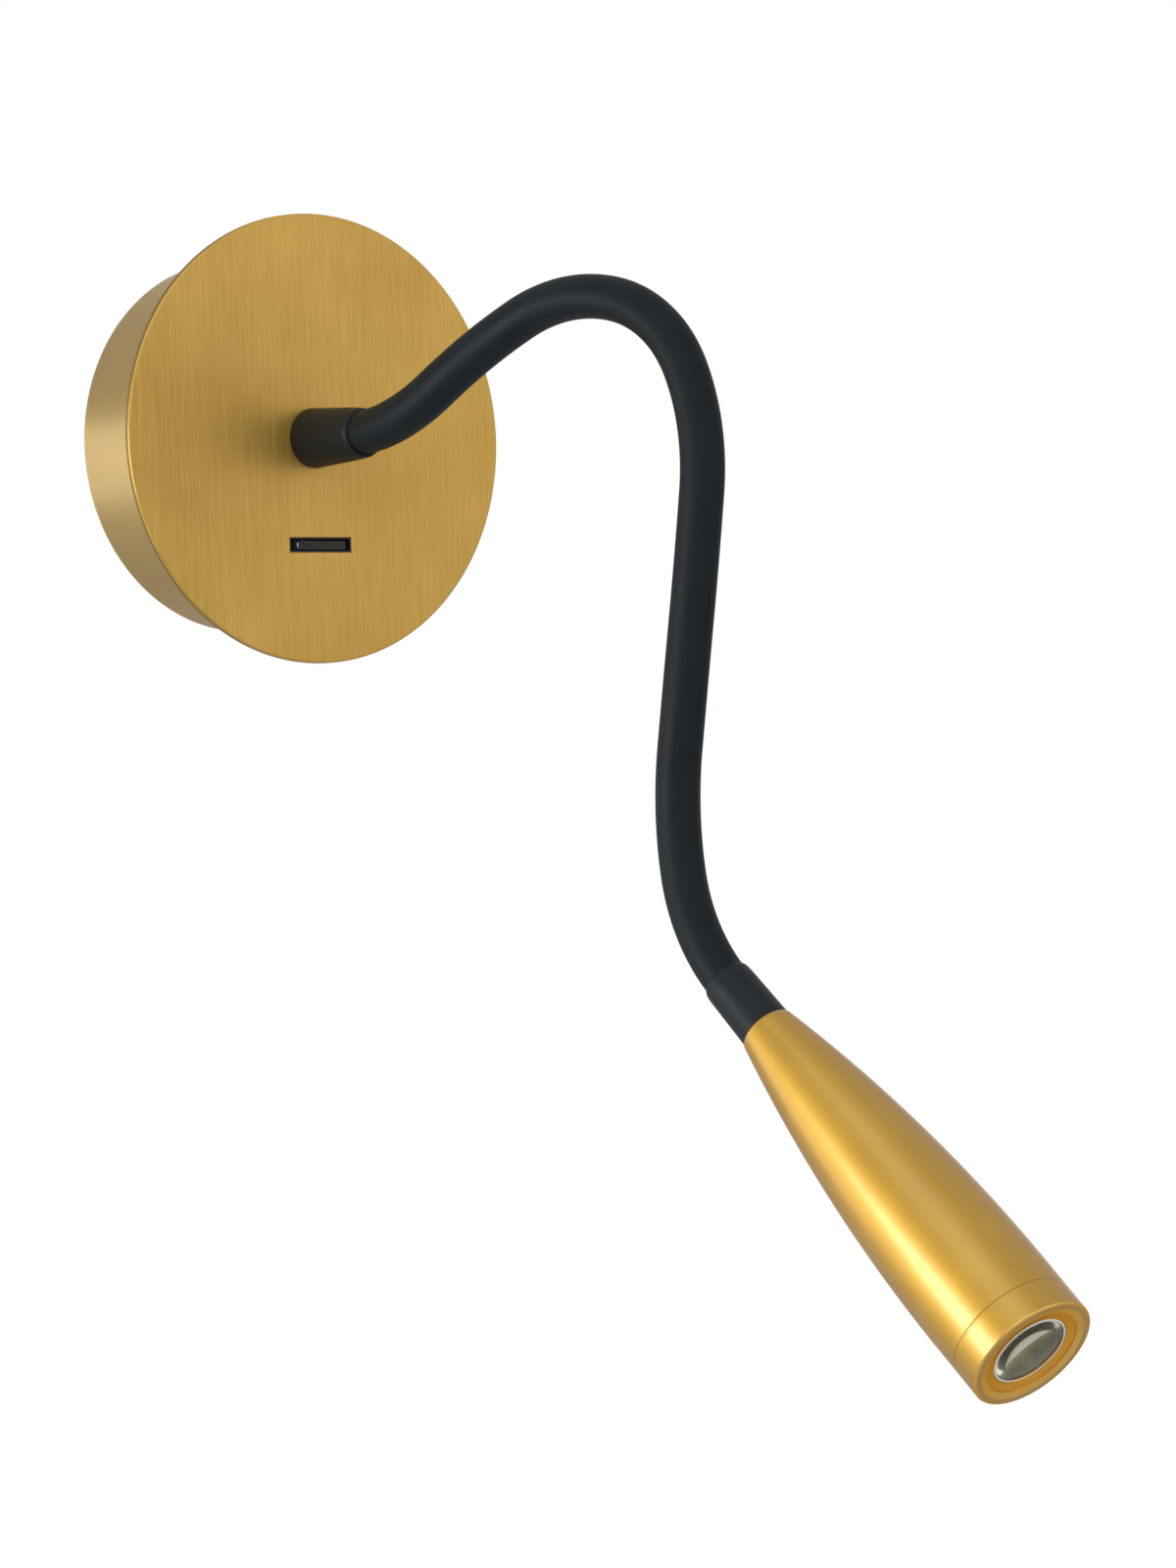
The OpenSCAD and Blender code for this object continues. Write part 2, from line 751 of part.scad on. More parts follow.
module led_board() {
  color("#eef0f0") at_head() translate([0, 0, board_z]) difference() {
    cylinder(r = board_d / 2, h = board_t);
    for (side = [0, 180]) rotate([0, 0, side]) translate([board_d / 2, 0, -1])
      cylinder(r = 1.6, h = board_t + 2);
  }
}

module led_chip() {
  base_h = 0.8;
  dome = chip_w * 0.4;
  color("#f2d24a") at_head() translate([0, 0, holder_z]) {
    translate([-chip_w / 2, -chip_w / 2, 0]) cube([chip_w, chip_w, base_h]);
    translate([0, 0, base_h - eps]) intersection() {
      sphere(r = dome);
      cylinder(r = dome + 1, h = dome + 1);
    }
  }
}

// A cup between the board and the sealing ring, with a conical reflector.
module lens_holder() {
  cup_r = bore_r - head_clear;
  cup_h = gasket_back - holder_z;
  color("#d8dadb") at_head() translate([0, 0, holder_z]) rotate_extrude() polygon([
    [chip_w * 0.85, 0], [cup_r, 0], [cup_r, cup_h], [lens_r, cup_h]
  ]);
}

module lens_gasket() {
  color("#e8e8e4") at_head() translate([0, 0, gasket_back]) ring(lens_flange_r, lens_r, gasket_t);
}

module lens() {
  color("#cfd8d4") at_head() rotate_extrude() {
    translate([0, lens_back]) square([lens_flange_r, lens_flange_t]);
    translate([0, lens_back]) square([lens_r, lens_edge - lens_back]);
    intersection() {
      translate([0, lens_edge + lens_dome_h - dome_r]) circle(r = dome_r, $fn = smooth);
      translate([0, lens_edge - eps]) square([dome_rim, lens_dome_h + 1]);
    }
    intersection() {
      translate([0, lens_back - lens_bulge + bulge_r]) circle(r = bulge_r, $fn = smooth);
      translate([0, lens_back - lens_bulge - 1]) square([bulge_rim, lens_bulge + 1 + eps]);
    }
  }
}

// A threaded spigot, a cylindrical side, a dished face with a fine step and the lip over the lens.
module front_ring() {
  dish_r = head_r - ring_edge_r - rim_w;
  color("#c49a40") at_head() rotate_extrude() difference() {
    union() {
      translate([0, spigot_end]) square([spigot_r, spigot_len + eps]);
      translate([0, shell_len]) square([head_r, ring_len - ring_edge_r]);
      translate([0, shell_len]) square([head_r - ring_edge_r, ring_len]);
      intersection() {
        translate([head_r - ring_edge_r, head_len - ring_edge_r]) circle(r = ring_edge_r);
        translate([0, shell_len]) square([head_r, ring_len]);
      }
    }
    translate([0, spigot_end - 1]) square([bore_r, gasket_back - spigot_end + 1]);
    translate([0, spigot_end - 1]) square([lens_flange_r + head_clear, lip_z - spigot_end + 1]);
    translate([0, lip_z - 1]) square([lip_r, ring_len]);
    polygon([
      [0, head_len - dish_depth], [lip_r + 0.3, head_len - dish_depth],
      [step_d / 2, head_len - step_depth - step_h], [step_d / 2, head_len - step_depth],
      [dish_r, head_len], [dish_r, head_len + 1], [0, head_len + 1]
    ]);
  }
}

cover_plate();
stud_nut(-1);  // stud_nut_left
stud_nut(1);  // stud_nut_right
casing_shell();
wall_bracket();
side_screw(1);  // side_screw_top
side_screw(-1);  // side_screw_bottom
cable_grommet();
terminal_block();
driver_case();
switch_housing();
switch_rocker();
switch_mark();
neck_fitting();
neck_washer();
neck_nut();
base_collar();
core_root();
core_link(1);  // core_1
core_link(2);  // core_2
core_link(3);  // core_3
core_link(4);  // core_4
core_link(5);  // core_5
core_link(6);  // core_6
core_link(7);  // core_7
core_link(8);  // core_8
core_tip();
sleeve(0);  // sleeve_1
sleeve(1);  // sleeve_2
sleeve(2);  // sleeve_3
sleeve(3);  // sleeve_4
sleeve(4);  // sleeve_5
sleeve(5);  // sleeve_6
sleeve(6);  // sleeve_7
sleeve(7);  // sleeve_8
sleeve(8);  // sleeve_9
head_fitting();
head_collar();
head_shell();
heat_sink();
led_board();
led_chip();
lens_holder();
lens_gasket();
lens();
front_ring();
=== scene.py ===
"""Looks of a flexible arm wall light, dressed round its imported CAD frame.

Metres, +Z up. The wall is the plane y = 0 and the light stands out from it towards -Y.
Sub-assemblies hold their sizes in millimetres and hand over metres.
"""
from __future__ import annotations

import json
import logging
import math
from dataclasses import dataclass
from enum import Enum
from typing import Any, Callable, Sequence

import bmesh
import bpy
from mathutils import Matrix, Vector

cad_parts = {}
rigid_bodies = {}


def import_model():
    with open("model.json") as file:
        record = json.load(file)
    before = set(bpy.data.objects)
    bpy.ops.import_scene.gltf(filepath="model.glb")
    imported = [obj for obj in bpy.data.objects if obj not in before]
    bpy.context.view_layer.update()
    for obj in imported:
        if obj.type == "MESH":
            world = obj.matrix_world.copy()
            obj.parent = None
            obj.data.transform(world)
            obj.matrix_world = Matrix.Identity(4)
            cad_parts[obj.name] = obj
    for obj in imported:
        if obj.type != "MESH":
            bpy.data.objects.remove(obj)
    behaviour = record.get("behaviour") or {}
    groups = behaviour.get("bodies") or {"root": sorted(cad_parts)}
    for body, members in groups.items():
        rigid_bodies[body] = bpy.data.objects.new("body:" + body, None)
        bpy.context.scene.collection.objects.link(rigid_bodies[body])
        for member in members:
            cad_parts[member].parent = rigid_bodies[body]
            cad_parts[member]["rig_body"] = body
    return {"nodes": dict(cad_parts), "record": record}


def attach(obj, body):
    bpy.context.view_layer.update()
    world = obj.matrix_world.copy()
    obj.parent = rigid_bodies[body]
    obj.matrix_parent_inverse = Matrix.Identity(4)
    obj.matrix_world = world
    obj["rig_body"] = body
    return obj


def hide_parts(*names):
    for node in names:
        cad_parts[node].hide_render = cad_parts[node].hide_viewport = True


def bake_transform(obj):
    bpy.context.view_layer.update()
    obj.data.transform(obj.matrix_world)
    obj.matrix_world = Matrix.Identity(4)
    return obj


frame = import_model()

LOG = logging.getLogger("wall_light")
MM = 0.001
# Turns local z, along which a piece is turned on the lathe, to point away from the wall.
OUTWARD = Matrix.Rotation(math.radians(90), 4, "X")
# Angle between faces, in degrees, past which an edge is drawn sharp.
SHARP = 35.0
# Most of a noise's values lie in this range.
NOISE_LOW, NOISE_HIGH = 0.3, 0.7
Point2 = tuple[float, float]


# Materials


def srgb(code: str, alpha: float = 1.0) -> tuple[float, float, float, float]:
    """Turns an sRGB hex code into the linear colour that a socket takes.

    Args:
        code: Six hex digits with a leading hash.
        alpha: Opacity.

    Returns:
        Linear red, green and blue, and alpha.
    """
    parts = [int(code[i:i + 2], 16) / 255 for i in (1, 3, 5)]
    linear = [c / 12.92 if c <= 0.04045 else ((c + 0.055) / 1.055) ** 2.4 for c in parts]
    return (linear[0], linear[1], linear[2], alpha)


def add_node(
    tree: bpy.types.NodeTree, kind: str, inputs: dict[Any, Any] | None = None, **settings: Any
) -> bpy.types.Node:
    """Adds a node with its settings, values and links.

    Args:
        tree: Node tree that takes the node.
        kind: Type of the node.
        inputs: Socket name or number, with a value or with the output socket that feeds it.
        **settings: Properties of the node.

    Returns:
        The new node.
    """
    node = tree.nodes.new(kind)
    for name, value in settings.items():
        setattr(node, name, value)
    for name, value in (inputs or {}).items():
        if isinstance(value, bpy.types.NodeSocket):
            tree.links.new(value, node.inputs[name])
        else:
            node.inputs[name].default_value = value
    return node


class Side(Enum):
    """Side of the light's upright middle plane, as the sign of X."""

    LEFT = -1
    RIGHT = 1


@dataclass(frozen=True)
class Canvas:
    """What a pattern is drawn on: a node tree, Object coordinates and the principled shader."""

    tree: bpy.types.NodeTree
    place: bpy.types.NodeSocket
    shader: bpy.types.Node

    def feed(self, name: str, source: bpy.types.NodeSocket) -> None:
        """Links a socket to one of the shader's inputs."""
        self.tree.links.new(source, self.shader.inputs[name])


@dataclass(frozen=True)
class Finish:
    """What every surface finish shares: a principled shader, uneven gloss and a fine relief."""

    name: str
    colour: str
    roughness: float
    metallic: float = 0.0
    coat: float = 0.0
    coat_roughness: float = 0.2
    coat_ior: float = 1.5
    edge_tint: str = "#FFFFFF"
    uneven: float = 0.05
    relief: float = 0.1
    relief_depth: float = 0.05

    def material(self) -> bpy.types.Material:
        """Returns the material, which is made on the first call."""
        found = bpy.data.materials.get(self.name)
        if found:
            return found
        material = bpy.data.materials.new(self.name)
        material.use_nodes = True
        material.diffuse_color = srgb(self.colour)
        tree = material.node_tree
        tree.nodes.clear()
        place = add_node(tree, "ShaderNodeTexCoord").outputs["Object"]
        shader = add_node(tree, "ShaderNodeBsdfPrincipled", {
            "Base Color": srgb(self.colour), "Roughness": self.roughness, "Metallic": self.metallic,
            "Coat Weight": self.coat, "Coat Roughness": self.coat_roughness,
            "Coat IOR": self.coat_ior, "Specular Tint": srgb(self.edge_tint),
        })
        self.pattern(Canvas(tree, place, shader))
        add_node(tree, "ShaderNodeOutputMaterial", {"Surface": shader.outputs["BSDF"]})
        return material

    def pattern(self, canvas: Canvas) -> None:
        """Adds what varies over the surface.

        Args:
            canvas: What the pattern is drawn on.
        """
        raise NotImplementedError

    def lay(
        self, canvas: Canvas, share: bpy.types.NodeSocket, dark: str, light: str,
        wear: bpy.types.NodeSocket, height: bpy.types.NodeSocket,
    ) -> None:
        """Lays two colours, the uneven gloss and the relief, each by a noise.

        Args:
            canvas: What the pattern is drawn on.
            share: Noise that mixes the colours.
            dark: Colour where that noise is low.
            light: Colour where that noise is high.
            wear: Noise that makes the roughness uneven.
            height: Noise that gives the relief.
        """
        tree = canvas.tree
        spread = add_node(tree, "ShaderNodeMapRange", {
            "Value": share, "From Min": NOISE_LOW, "From Max": NOISE_HIGH,
        })
        mix = add_node(tree, "ShaderNodeMix", {
            "Factor": spread.outputs["Result"], "A": srgb(dark), "B": srgb(light),
        }, data_type="RGBA")
        rough = add_node(tree, "ShaderNodeMapRange", {
            "Value": wear, "From Min": NOISE_LOW, "From Max": NOISE_HIGH,
            "To Min": self.roughness - self.uneven, "To Max": self.roughness + self.uneven,
        })
        bump = add_node(tree, "ShaderNodeBump", {
            "Height": height, "Strength": self.relief, "Distance": self.relief_depth * MM,
        })
        canvas.feed("Base Color", mix.outputs["Result"])
        canvas.feed("Roughness", rough.outputs["Result"])
        canvas.feed("Normal", bump.outputs["Normal"])


@dataclass(frozen=True)
class HairlineMetal(Finish):
    """Metal brushed up and down with a belt: upright hairs, and gloss drawn out across them."""

    dark: str = "#B08B40"
    light: str = "#CDA75A"
    hair_w: float = 0.45
    hair_l: float = 26.0
    stretch: float = 0.6
    cloud: float = 0.3
    cloud_w: float = 22.0

    def pattern(self, canvas: Canvas) -> None:
        """Adds hairs as stretched noise in colour, roughness and relief, and clouds in colour.

        Args:
            canvas: What the pattern is drawn on.
        """
        tree = canvas.tree
        mapped = add_node(tree, "ShaderNodeMapping", {
            "Vector": canvas.place,
            "Scale": [1 / (w * MM) for w in (self.hair_w, self.hair_w, self.hair_l)],
        })
        hairs = add_node(tree, "ShaderNodeTexNoise", {
            "Vector": mapped.outputs["Vector"], "Scale": 1.0, "Detail": 4.0, "Roughness": 0.6,
        }).outputs["Fac"]
        clouds = add_node(tree, "ShaderNodeTexNoise", {
            "Vector": canvas.place, "Scale": 1 / (self.cloud_w * MM), "Detail": 2.0,
        }).outputs["Fac"]
        mixed = add_node(tree, "ShaderNodeMix", {
            "Factor": self.cloud, "A": hairs, "B": clouds,
        }, data_type="FLOAT").outputs["Result"]
        self.lay(canvas, mixed, self.dark, self.light, hairs, hairs)
        canvas.shader.inputs["Anisotropic"].default_value = self.stretch
        tangent = add_node(tree, "ShaderNodeTangent", direction_type="RADIAL", axis="Z")
        canvas.feed("Tangent", tangent.outputs["Tangent"])


@dataclass(frozen=True)
class SatinMetal(Finish):
    """Metal that was blasted and anodised, plated or galvanised: a fine even speckle.

    The specks are drawn a few times as coarse as the grit, so that they show in the render.
    """

    dark: str = "#9A9C9E"
    light: str = "#B8BABC"
    speck: float = 0.3
    patch: float = 14.0
    uneven: float = 0.04
    relief: float = 0.08
    relief_depth: float = 0.04

    def pattern(self, canvas: Canvas) -> None:
        """Adds specks in relief and roughness, and broad faint patches in colour.

        Args:
            canvas: What the pattern is drawn on.
        """
        tree, place = canvas.tree, canvas.place
        specks = add_node(tree, "ShaderNodeTexNoise", {
            "Vector": place, "Scale": 1 / (self.speck * MM), "Detail": 3.0, "Roughness": 0.7,
        }).outputs["Fac"]
        patches = add_node(tree, "ShaderNodeTexNoise", {
            "Vector": place, "Scale": 1 / (self.patch * MM), "Detail": 3.0,
        }).outputs["Fac"]
        both = add_node(tree, "ShaderNodeMath", {0: specks, 1: patches}, operation="ADD").outputs[0]
        half = add_node(tree, "ShaderNodeMath", {0: both, 1: 0.5}, operation="MULTIPLY").outputs[0]
        self.lay(canvas, half, self.dark, self.light, specks, specks)


@dataclass(frozen=True)
class Polymer(Finish):
    """Moulded plastic or rubber: a fine grain from the mould and a faint bloom.

    The grain is drawn a few times as coarse as the mould's, so that it shows in the render.
    """

    bloom: str = "#2A3034"
    grain: float = 0.25
    patch: float = 18.0
    relief: float = 0.15
    specular: float = 0.5

    def pattern(self, canvas: Canvas) -> None:
        """Adds the mould's grain in relief, and the bloom as broad patches of colour.

        Args:
            canvas: What the pattern is drawn on.
        """
        grains = add_node(canvas.tree, "ShaderNodeTexNoise", {
            "Vector": canvas.place, "Scale": 1 / (self.grain * MM), "Detail": 2.0,
        }).outputs["Fac"]
        patches = add_node(canvas.tree, "ShaderNodeTexNoise", {
            "Vector": canvas.place, "Scale": 1 / (self.patch * MM), "Detail": 4.0,
            "Roughness": 0.65,
        }).outputs["Fac"]
        self.lay(canvas, patches, self.colour, self.bloom, patches, grains)
        canvas.shader.inputs["Specular IOR Level"].default_value = self.specular


@dataclass(frozen=True)
class ClearPolymer(Finish):
    """Clear moulded plastic, with the faint swirl of its mould."""

    ior: float = 1.49
    swirl: float = 6.0
    relief: float = 0.05

    def pattern(self, canvas: Canvas) -> None:
        """Lets light through, and adds the swirl as a very shallow relief.

        Args:
            canvas: What the pattern is drawn on.
        """
        swirls = add_node(canvas.tree, "ShaderNodeTexNoise", {
            "Vector": canvas.place, "Scale": 1 / (self.swirl * MM), "Detail": 1.0,
        }).outputs["Fac"]
        bump = add_node(canvas.tree, "ShaderNodeBump", {
            "Height": swirls, "Strength": self.relief, "Distance": self.relief_depth * MM,
        })
        canvas.feed("Normal", bump.outputs["Normal"])
        canvas.shader.inputs["Transmission Weight"].default_value = 1.0
        canvas.shader.inputs["IOR"].default_value = self.ior


# Aluminium sheet brushed up and down, then anodised gold: fine upright hairs, and gloss drawn out
# sideways. The hairs are drawn several times as wide as a belt's, so that they show in the render.
PLATE_GOLD = HairlineMetal(
    "brushed_gold_anodised_aluminium", "#D6AC52", 0.46, 1.0, 0.35, 0.3, 1.5,
    edge_tint="#F0D090", relief=0.3,
    dark="#C69B42", light="#E6BD64", hair_w=0.32, hair_l=16.0, stretch=0.5,
)
# Pressed steel, plated pale gold and left satin: duller and greyer than the plate.
CASING_GOLD = SatinMetal(
    "satin_gold_plated_steel", "#B4944A", 0.38, 1.0, 1.0, 0.28, 1.75,
    dark="#AC8C42", light="#BC9C52", speck=0.45, patch=24.0, edge_tint="#E8C880",
)
# Turned aluminium, blasted fine and anodised deep gold: a broad soft gloss with a pale core.
HEAD_GOLD = SatinMetal(
    "satin_gold_anodised_aluminium", "#C99C12", 0.51, 1.0, 1.0, 0.29, 1.72,
    dark="#C1940E", light="#D1A418", speck=0.3, patch=20.0, edge_tint="#C49A30",
)
# The plate's blanked edge, rough under the anodising, and painted a darker gold: painted shade for
# the shadowed joint beside the casing.
PLATE_EDGE_PAINTED_SHADE = SatinMetal(
    "plate_edge_painted_shade", "#8E7B48", 0.6, 1.0, 0.1, 0.1,
    dark="#847242", light="#98844E",
)
# The ring's dished face, turned bright before it was anodised: smoother, and painted a brighter
# orange gold for the light that bounces round inside the dish.
DISH_PAINTED_LIGHT = SatinMetal(
    "dish_gold_painted_light", "#E8AC40", 0.3, 1.0, 0.2, 0.2,
    dark="#E0A43A", light="#F0B448", speck=0.3, patch=9.0, relief=0.04, edge_tint="#E0A840",
)
# The ring's bevel inside its rim and its outer edge: painted highlights, a paler, smoother gold
# where these narrow faces catch the light.
BEVEL_PAINTED_HIGHLIGHT = SatinMetal(
    "bevel_gold_painted_highlight", "#ECBC62", 0.28, 1.0, 0.2, 0.2,
    dark="#E4B45A", light="#F4C46C", speck=0.3, patch=9.0, relief=0.04, edge_tint="#E0B860",
)
# Silicone rubber, moulded matte: nearly black with a cool soft sheen.
SLEEVE_RUBBER = Polymer(
    "matte_silicone_rubber", "#0E161A", 0.52, bloom="#131D22", grain=0.3, specular=0.16,
)
# The same rubber, a little smoother from a polished mould, and painted a touch lighter than the
# sleeve: painted light that evens out its darker look beside the plate.
COLLAR_RUBBER_PAINTED_LIGHT = Polymer(
    "smooth_silicone_rubber_painted_light", "#12191D", 0.48, bloom="#171F24", grain=0.3, specular=0.22,
)
# ABS moulded in a spark-eroded mould: nearly black, and charcoal on the rocker, with a fine grain.
SWITCH_ABS = Polymer("black_moulded_abs", "#0D0E0F", 0.5, bloom="#131516", grain=0.2)
ROCKER_ABS = Polymer("charcoal_moulded_abs", "#17191B", 0.42, bloom="#1C1F21", grain=0.2)
# Pad-printed light grey ink, flat and slightly rough.
MARK_INK = Polymer("light_grey_ink", "#B9BEC1", 0.6, bloom="#C4C9CC", grain=0.1)
# Hot-dip galvanised steel: pale grey with broad dull spangles.
BRACKET_STEEL = SatinMetal(
    "galvanised_steel", "#9EA2A5", 0.42, 1.0,
    dark="#868B8E", light="#B4B8BA", speck=0.6, patch=4.0,
)
# Zinc-plated steel, as on small nuts and washers: cool and fairly bright.
FIXING_STEEL = SatinMetal(
    "zinc_plated_steel", "#B4B8BC", 0.28, 1.0,
    dark="#A2A6AA", light="#C2C6CA", speck=0.25, patch=3.0,
)
# Brass-plated screw heads, which match the casing.
SCREW_GOLD = SatinMetal(
    "brass_plated_steel", "#BE9C50", 0.3, 1.0,
    dark="#AC8A42", light="#CDAB60", speck=0.25, patch=3.0,
)
# Machined brass with the lathe's dull gloss.
FITTING_BRASS = SatinMetal(
    "machined_brass", "#B89A58", 0.33, 1.0,
    dark="#A68848", light="#C8AA68", speck=0.25, patch=4.0,
)
# Wound spring steel, oiled: dark grey.
CORE_STEEL = SatinMetal(
    "oiled_spring_steel", "#7C8285", 0.35, 1.0,
    dark="#6A7073", light="#8C9295", speck=0.3, patch=4.0,
)
# Die-cast aluminium, blasted.
SINK_ALUMINIUM = SatinMetal(
    "blasted_aluminium", "#B9BDC0", 0.45, 1.0,
    dark="#A8ACAF", light="#C8CCCF", speck=0.4, patch=6.0,
)
# Vacuum-metallised reflector, slightly soft, painted a dark olive grey: painted shade for the dim
# inside of the head seen through the lens.
REFLECTOR_PAINTED_SHADE = SatinMetal(
    "metallised_reflector_painted_shade", "#88825E", 0.35, 1.0, relief=0.02,
    dark="#807A56", light="#908A66", speck=0.5, patch=3.0,
)
# Solder-resist on the circuit board: white and faintly glossy.
BOARD_WHITE = Polymer("white_solder_resist", "#D9DCDA", 0.4, bloom="#E4E6E4", grain=0.4)
# Phosphor gel over the chip.
CHIP_YELLOW = Polymer("yellow_phosphor_gel", "#D8B430", 0.25, bloom="#E4C040", grain=0.2)
# Glass-filled polyamide of the driver, and the plain polyamide of the terminal block.
DRIVER_WHITE = Polymer("white_polyamide", "#CFCFCA", 0.5, bloom="#DADAD5", grain=0.35)
BLOCK_WHITE = Polymer("natural_polyamide", "#D6D3C6", 0.4, bloom="#E0DDD0", grain=0.3)
# EPDM rubber of the grommet, and the pale silicone of the sealing ring.
GROMMET_RUBBER = Polymer("black_grommet_rubber", "#17191A", 0.6, bloom="#1E2021", grain=0.3)
GASKET_RUBBER = Polymer("pale_silicone_rubber", "#D4D4CE", 0.5, bloom="#DEDED8", grain=0.3)
# Acrylic moulded clear, a little warm through its thickness.
LENS_ACRYLIC = ClearPolymer("clear_moulded_acrylic", "#ECEAD4", 0.03)
# The lens's outer edge, frosted and near white: a painted highlight, the thin pale line where the
# edge catches the light.
LENS_EDGE_PAINTED_HIGHLIGHT = Polymer("lens_edge_painted_highlight", "#F2EEDE", 0.3, bloom="#F6F3E8", grain=0.2)


# Mesh tools


def arc(centre: Point2, radius: float, start: float, end: float, steps: int) -> list[Point2]:
    """Gives the points of an arc in an outline.

    Args:
        centre: Centre as distance from the axis and place along it.
        radius: Radius.
        start: Angle of the first point in degrees, from the outward direction.
        end: Angle of the last point in degrees.
        steps: Number of stretches.

    Returns:
        The points, with both ends.
    """
    angles = [math.radians(start + (end - start) * i / steps) for i in range(steps + 1)]
    return [(centre[0] + radius * math.cos(a), centre[1] + radius * math.sin(a)) for a in angles]


def lathe(outline: Sequence[Point2], steps: int, closed: bool = True) -> bmesh.types.BMesh:
    """Spins an outline of distance from the axis and place along it round local z.

    Args:
        outline: Points in millimetres.
        steps: Number of stretches round the axis.
        closed: True if the last point joins the first.

    Returns:
        A mesh in millimetres.
    """
    bm = bmesh.new()
    verts = [bm.verts.new((r, 0, z)) for r, z in outline]
    edges = [bm.edges.new(pair) for pair in zip(verts, verts[1:])]
    if closed:
        edges.append(bm.edges.new((verts[-1], verts[0])))
    bmesh.ops.spin(
        bm, geom=verts + edges, cent=(0, 0, 0), axis=(0, 0, 1), angle=math.tau, steps=steps,
        use_merge=True,
    )
    bmesh.ops.remove_doubles(bm, verts=bm.verts, dist=1e-5)
    bmesh.ops.recalc_face_normals(bm, faces=bm.faces)
    return bm


def box(low: Sequence[float], high: Sequence[float]) -> bmesh.types.BMesh:
    """Makes a block between two corners.

    Args:
        low: Lowest corner in millimetres.
        high: Highest corner in millimetres.

    Returns:
        A mesh in millimetres.
    """
    bm = bmesh.new()
    bmesh.ops.create_cube(bm, size=1.0)
    bmesh.ops.translate(bm, vec=(0.5, 0.5, 0.5), verts=bm.verts)
    bmesh.ops.scale(bm, vec=[h - l for l, h in zip(low, high)], verts=bm.verts)
    bmesh.ops.translate(bm, vec=low, verts=bm.verts)
    return bm


def to_object(bm: bmesh.types.BMesh, name: str, sharp: float = SHARP) -> bpy.types.Object:
    """Turns a mesh in millimetres into an object in metres, smooth but for its sharp edges.

    Args:
        bm: The mesh, which is freed.
        name: Name of the object.
        sharp: Angle between faces in degrees past which an edge is sharp.

    Returns:
        The object, at the origin.
    """
    bmesh.ops.scale(bm, vec=(MM, MM, MM), verts=bm.verts)
    for face in bm.faces:
        face.smooth = True
    for edge in bm.edges:
        edge.smooth = edge.calc_face_angle(0.0) < math.radians(sharp)
    mesh = bpy.data.meshes.new(name)
    bm.to_mesh(mesh)
    bm.free()
    made = bpy.data.objects.new(name, mesh)
    bpy.context.scene.collection.objects.link(made)
    return made


def cut(target: bpy.types.Object, tool: bpy.types.Object) -> None:
    """Takes one object away from another, and deletes it.

    Args:
        target: The object that is cut.
        tool: The object that is taken away.
    """
    modifier = target.modifiers.new("cut", "BOOLEAN")
    modifier.operation = "DIFFERENCE"
    modifier.solver = "EXACT"
    modifier.object = tool
    graph = bpy.context.evaluated_depsgraph_get()
    mesh = bpy.data.meshes.new_from_object(target.evaluated_get(graph))
    target.modifiers.clear()
    target.data = mesh
    mesh.name = target.name
    bpy.data.objects.remove(tool)


def reshape(target: bpy.types.Object, work: Callable[[bmesh.types.BMesh], None]) -> None:
    """Runs a step of mesh work on an object in metres.

    Args:
        target: The object.
        work: What is done to its mesh.
    """
    bm = bmesh.new()
    bm.from_mesh(target.data)
    work(bm)
    bm.to_mesh(target.data)
    bm.free()


def dress(
    piece: bpy.types.Object, finish: Finish, body: str, slot: str, *nodes: str
) -> bpy.types.Object:
    """Gives a finished piece its material, its body and the CAD nodes that it stands for.

    Args:
        piece: The finished object.
        finish: Its finish.
        body: The CAD body that it rides on.
        slot: The record's material slot; not used.
        *nodes: CAD nodes that it replaces.

    Returns:
        The piece.
    """
    piece.data.materials.clear()
    piece.data.materials.append(finish.material())
    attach(piece, body)
    if nodes:
        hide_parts(*nodes)
    LOG.info("%s on %s: %d faces", piece.name, body, len(piece.data.polygons))
    return piece


def paint_light_and_shade(piece: bpy.types.Object, finish: Finish, chosen: Callable[[Vector], bool]) -> None:
    """Gives some faces of a dressed piece their own material, which paints light or shade on them.

    Args:
        piece: The piece.
        finish: The finish that paints the light or shade on them.
        chosen: Tells from a face's middle, in millimetres, whether the face takes it.
    """
    piece.data.materials.append(finish.material())
    for face in piece.data.polygons:
        if chosen(face.center / MM):
            face.material_index = len(piece.data.materials) - 1


def from_node(node: str, name: str, finish: Finish, edge: float = 0.0) -> bpy.types.Object:
    """Makes a piece from a merged copy of a CAD node, with its edges broken.

    Args:
        node: The CAD node, which the piece replaces.
        name: Name of the piece.
        finish: Its finish.
        edge: Width of the broken edges in millimetres, or 0 for none.

    Returns:
        The piece.
    """
    source = frame["nodes"][node]
    subparts = frame["record"]["subparts"]
    slot = next(part["material_slot"] for part in subparts if part["node"] == node)
    bm = bmesh.new()
    bm.from_mesh(source.data)
    bmesh.ops.remove_doubles(bm, verts=bm.verts, dist=1e-6)
    bmesh.ops.dissolve_limit(bm, angle_limit=math.radians(0.5), verts=bm.verts, edges=bm.edges)
    bmesh.ops.scale(bm, vec=(1 / MM, 1 / MM, 1 / MM), verts=bm.verts)
    piece = to_object(bm, name)
    if edge:
        bevel = piece.modifiers.new("broken_edges", "BEVEL")
        bevel.width = edge * MM
        bevel.segments = 2
        bevel.limit_method = "ANGLE"
        bevel.angle_limit = math.radians(40)
    return dress(piece, finish, source["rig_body"], slot, node)


# Sub-assemblies


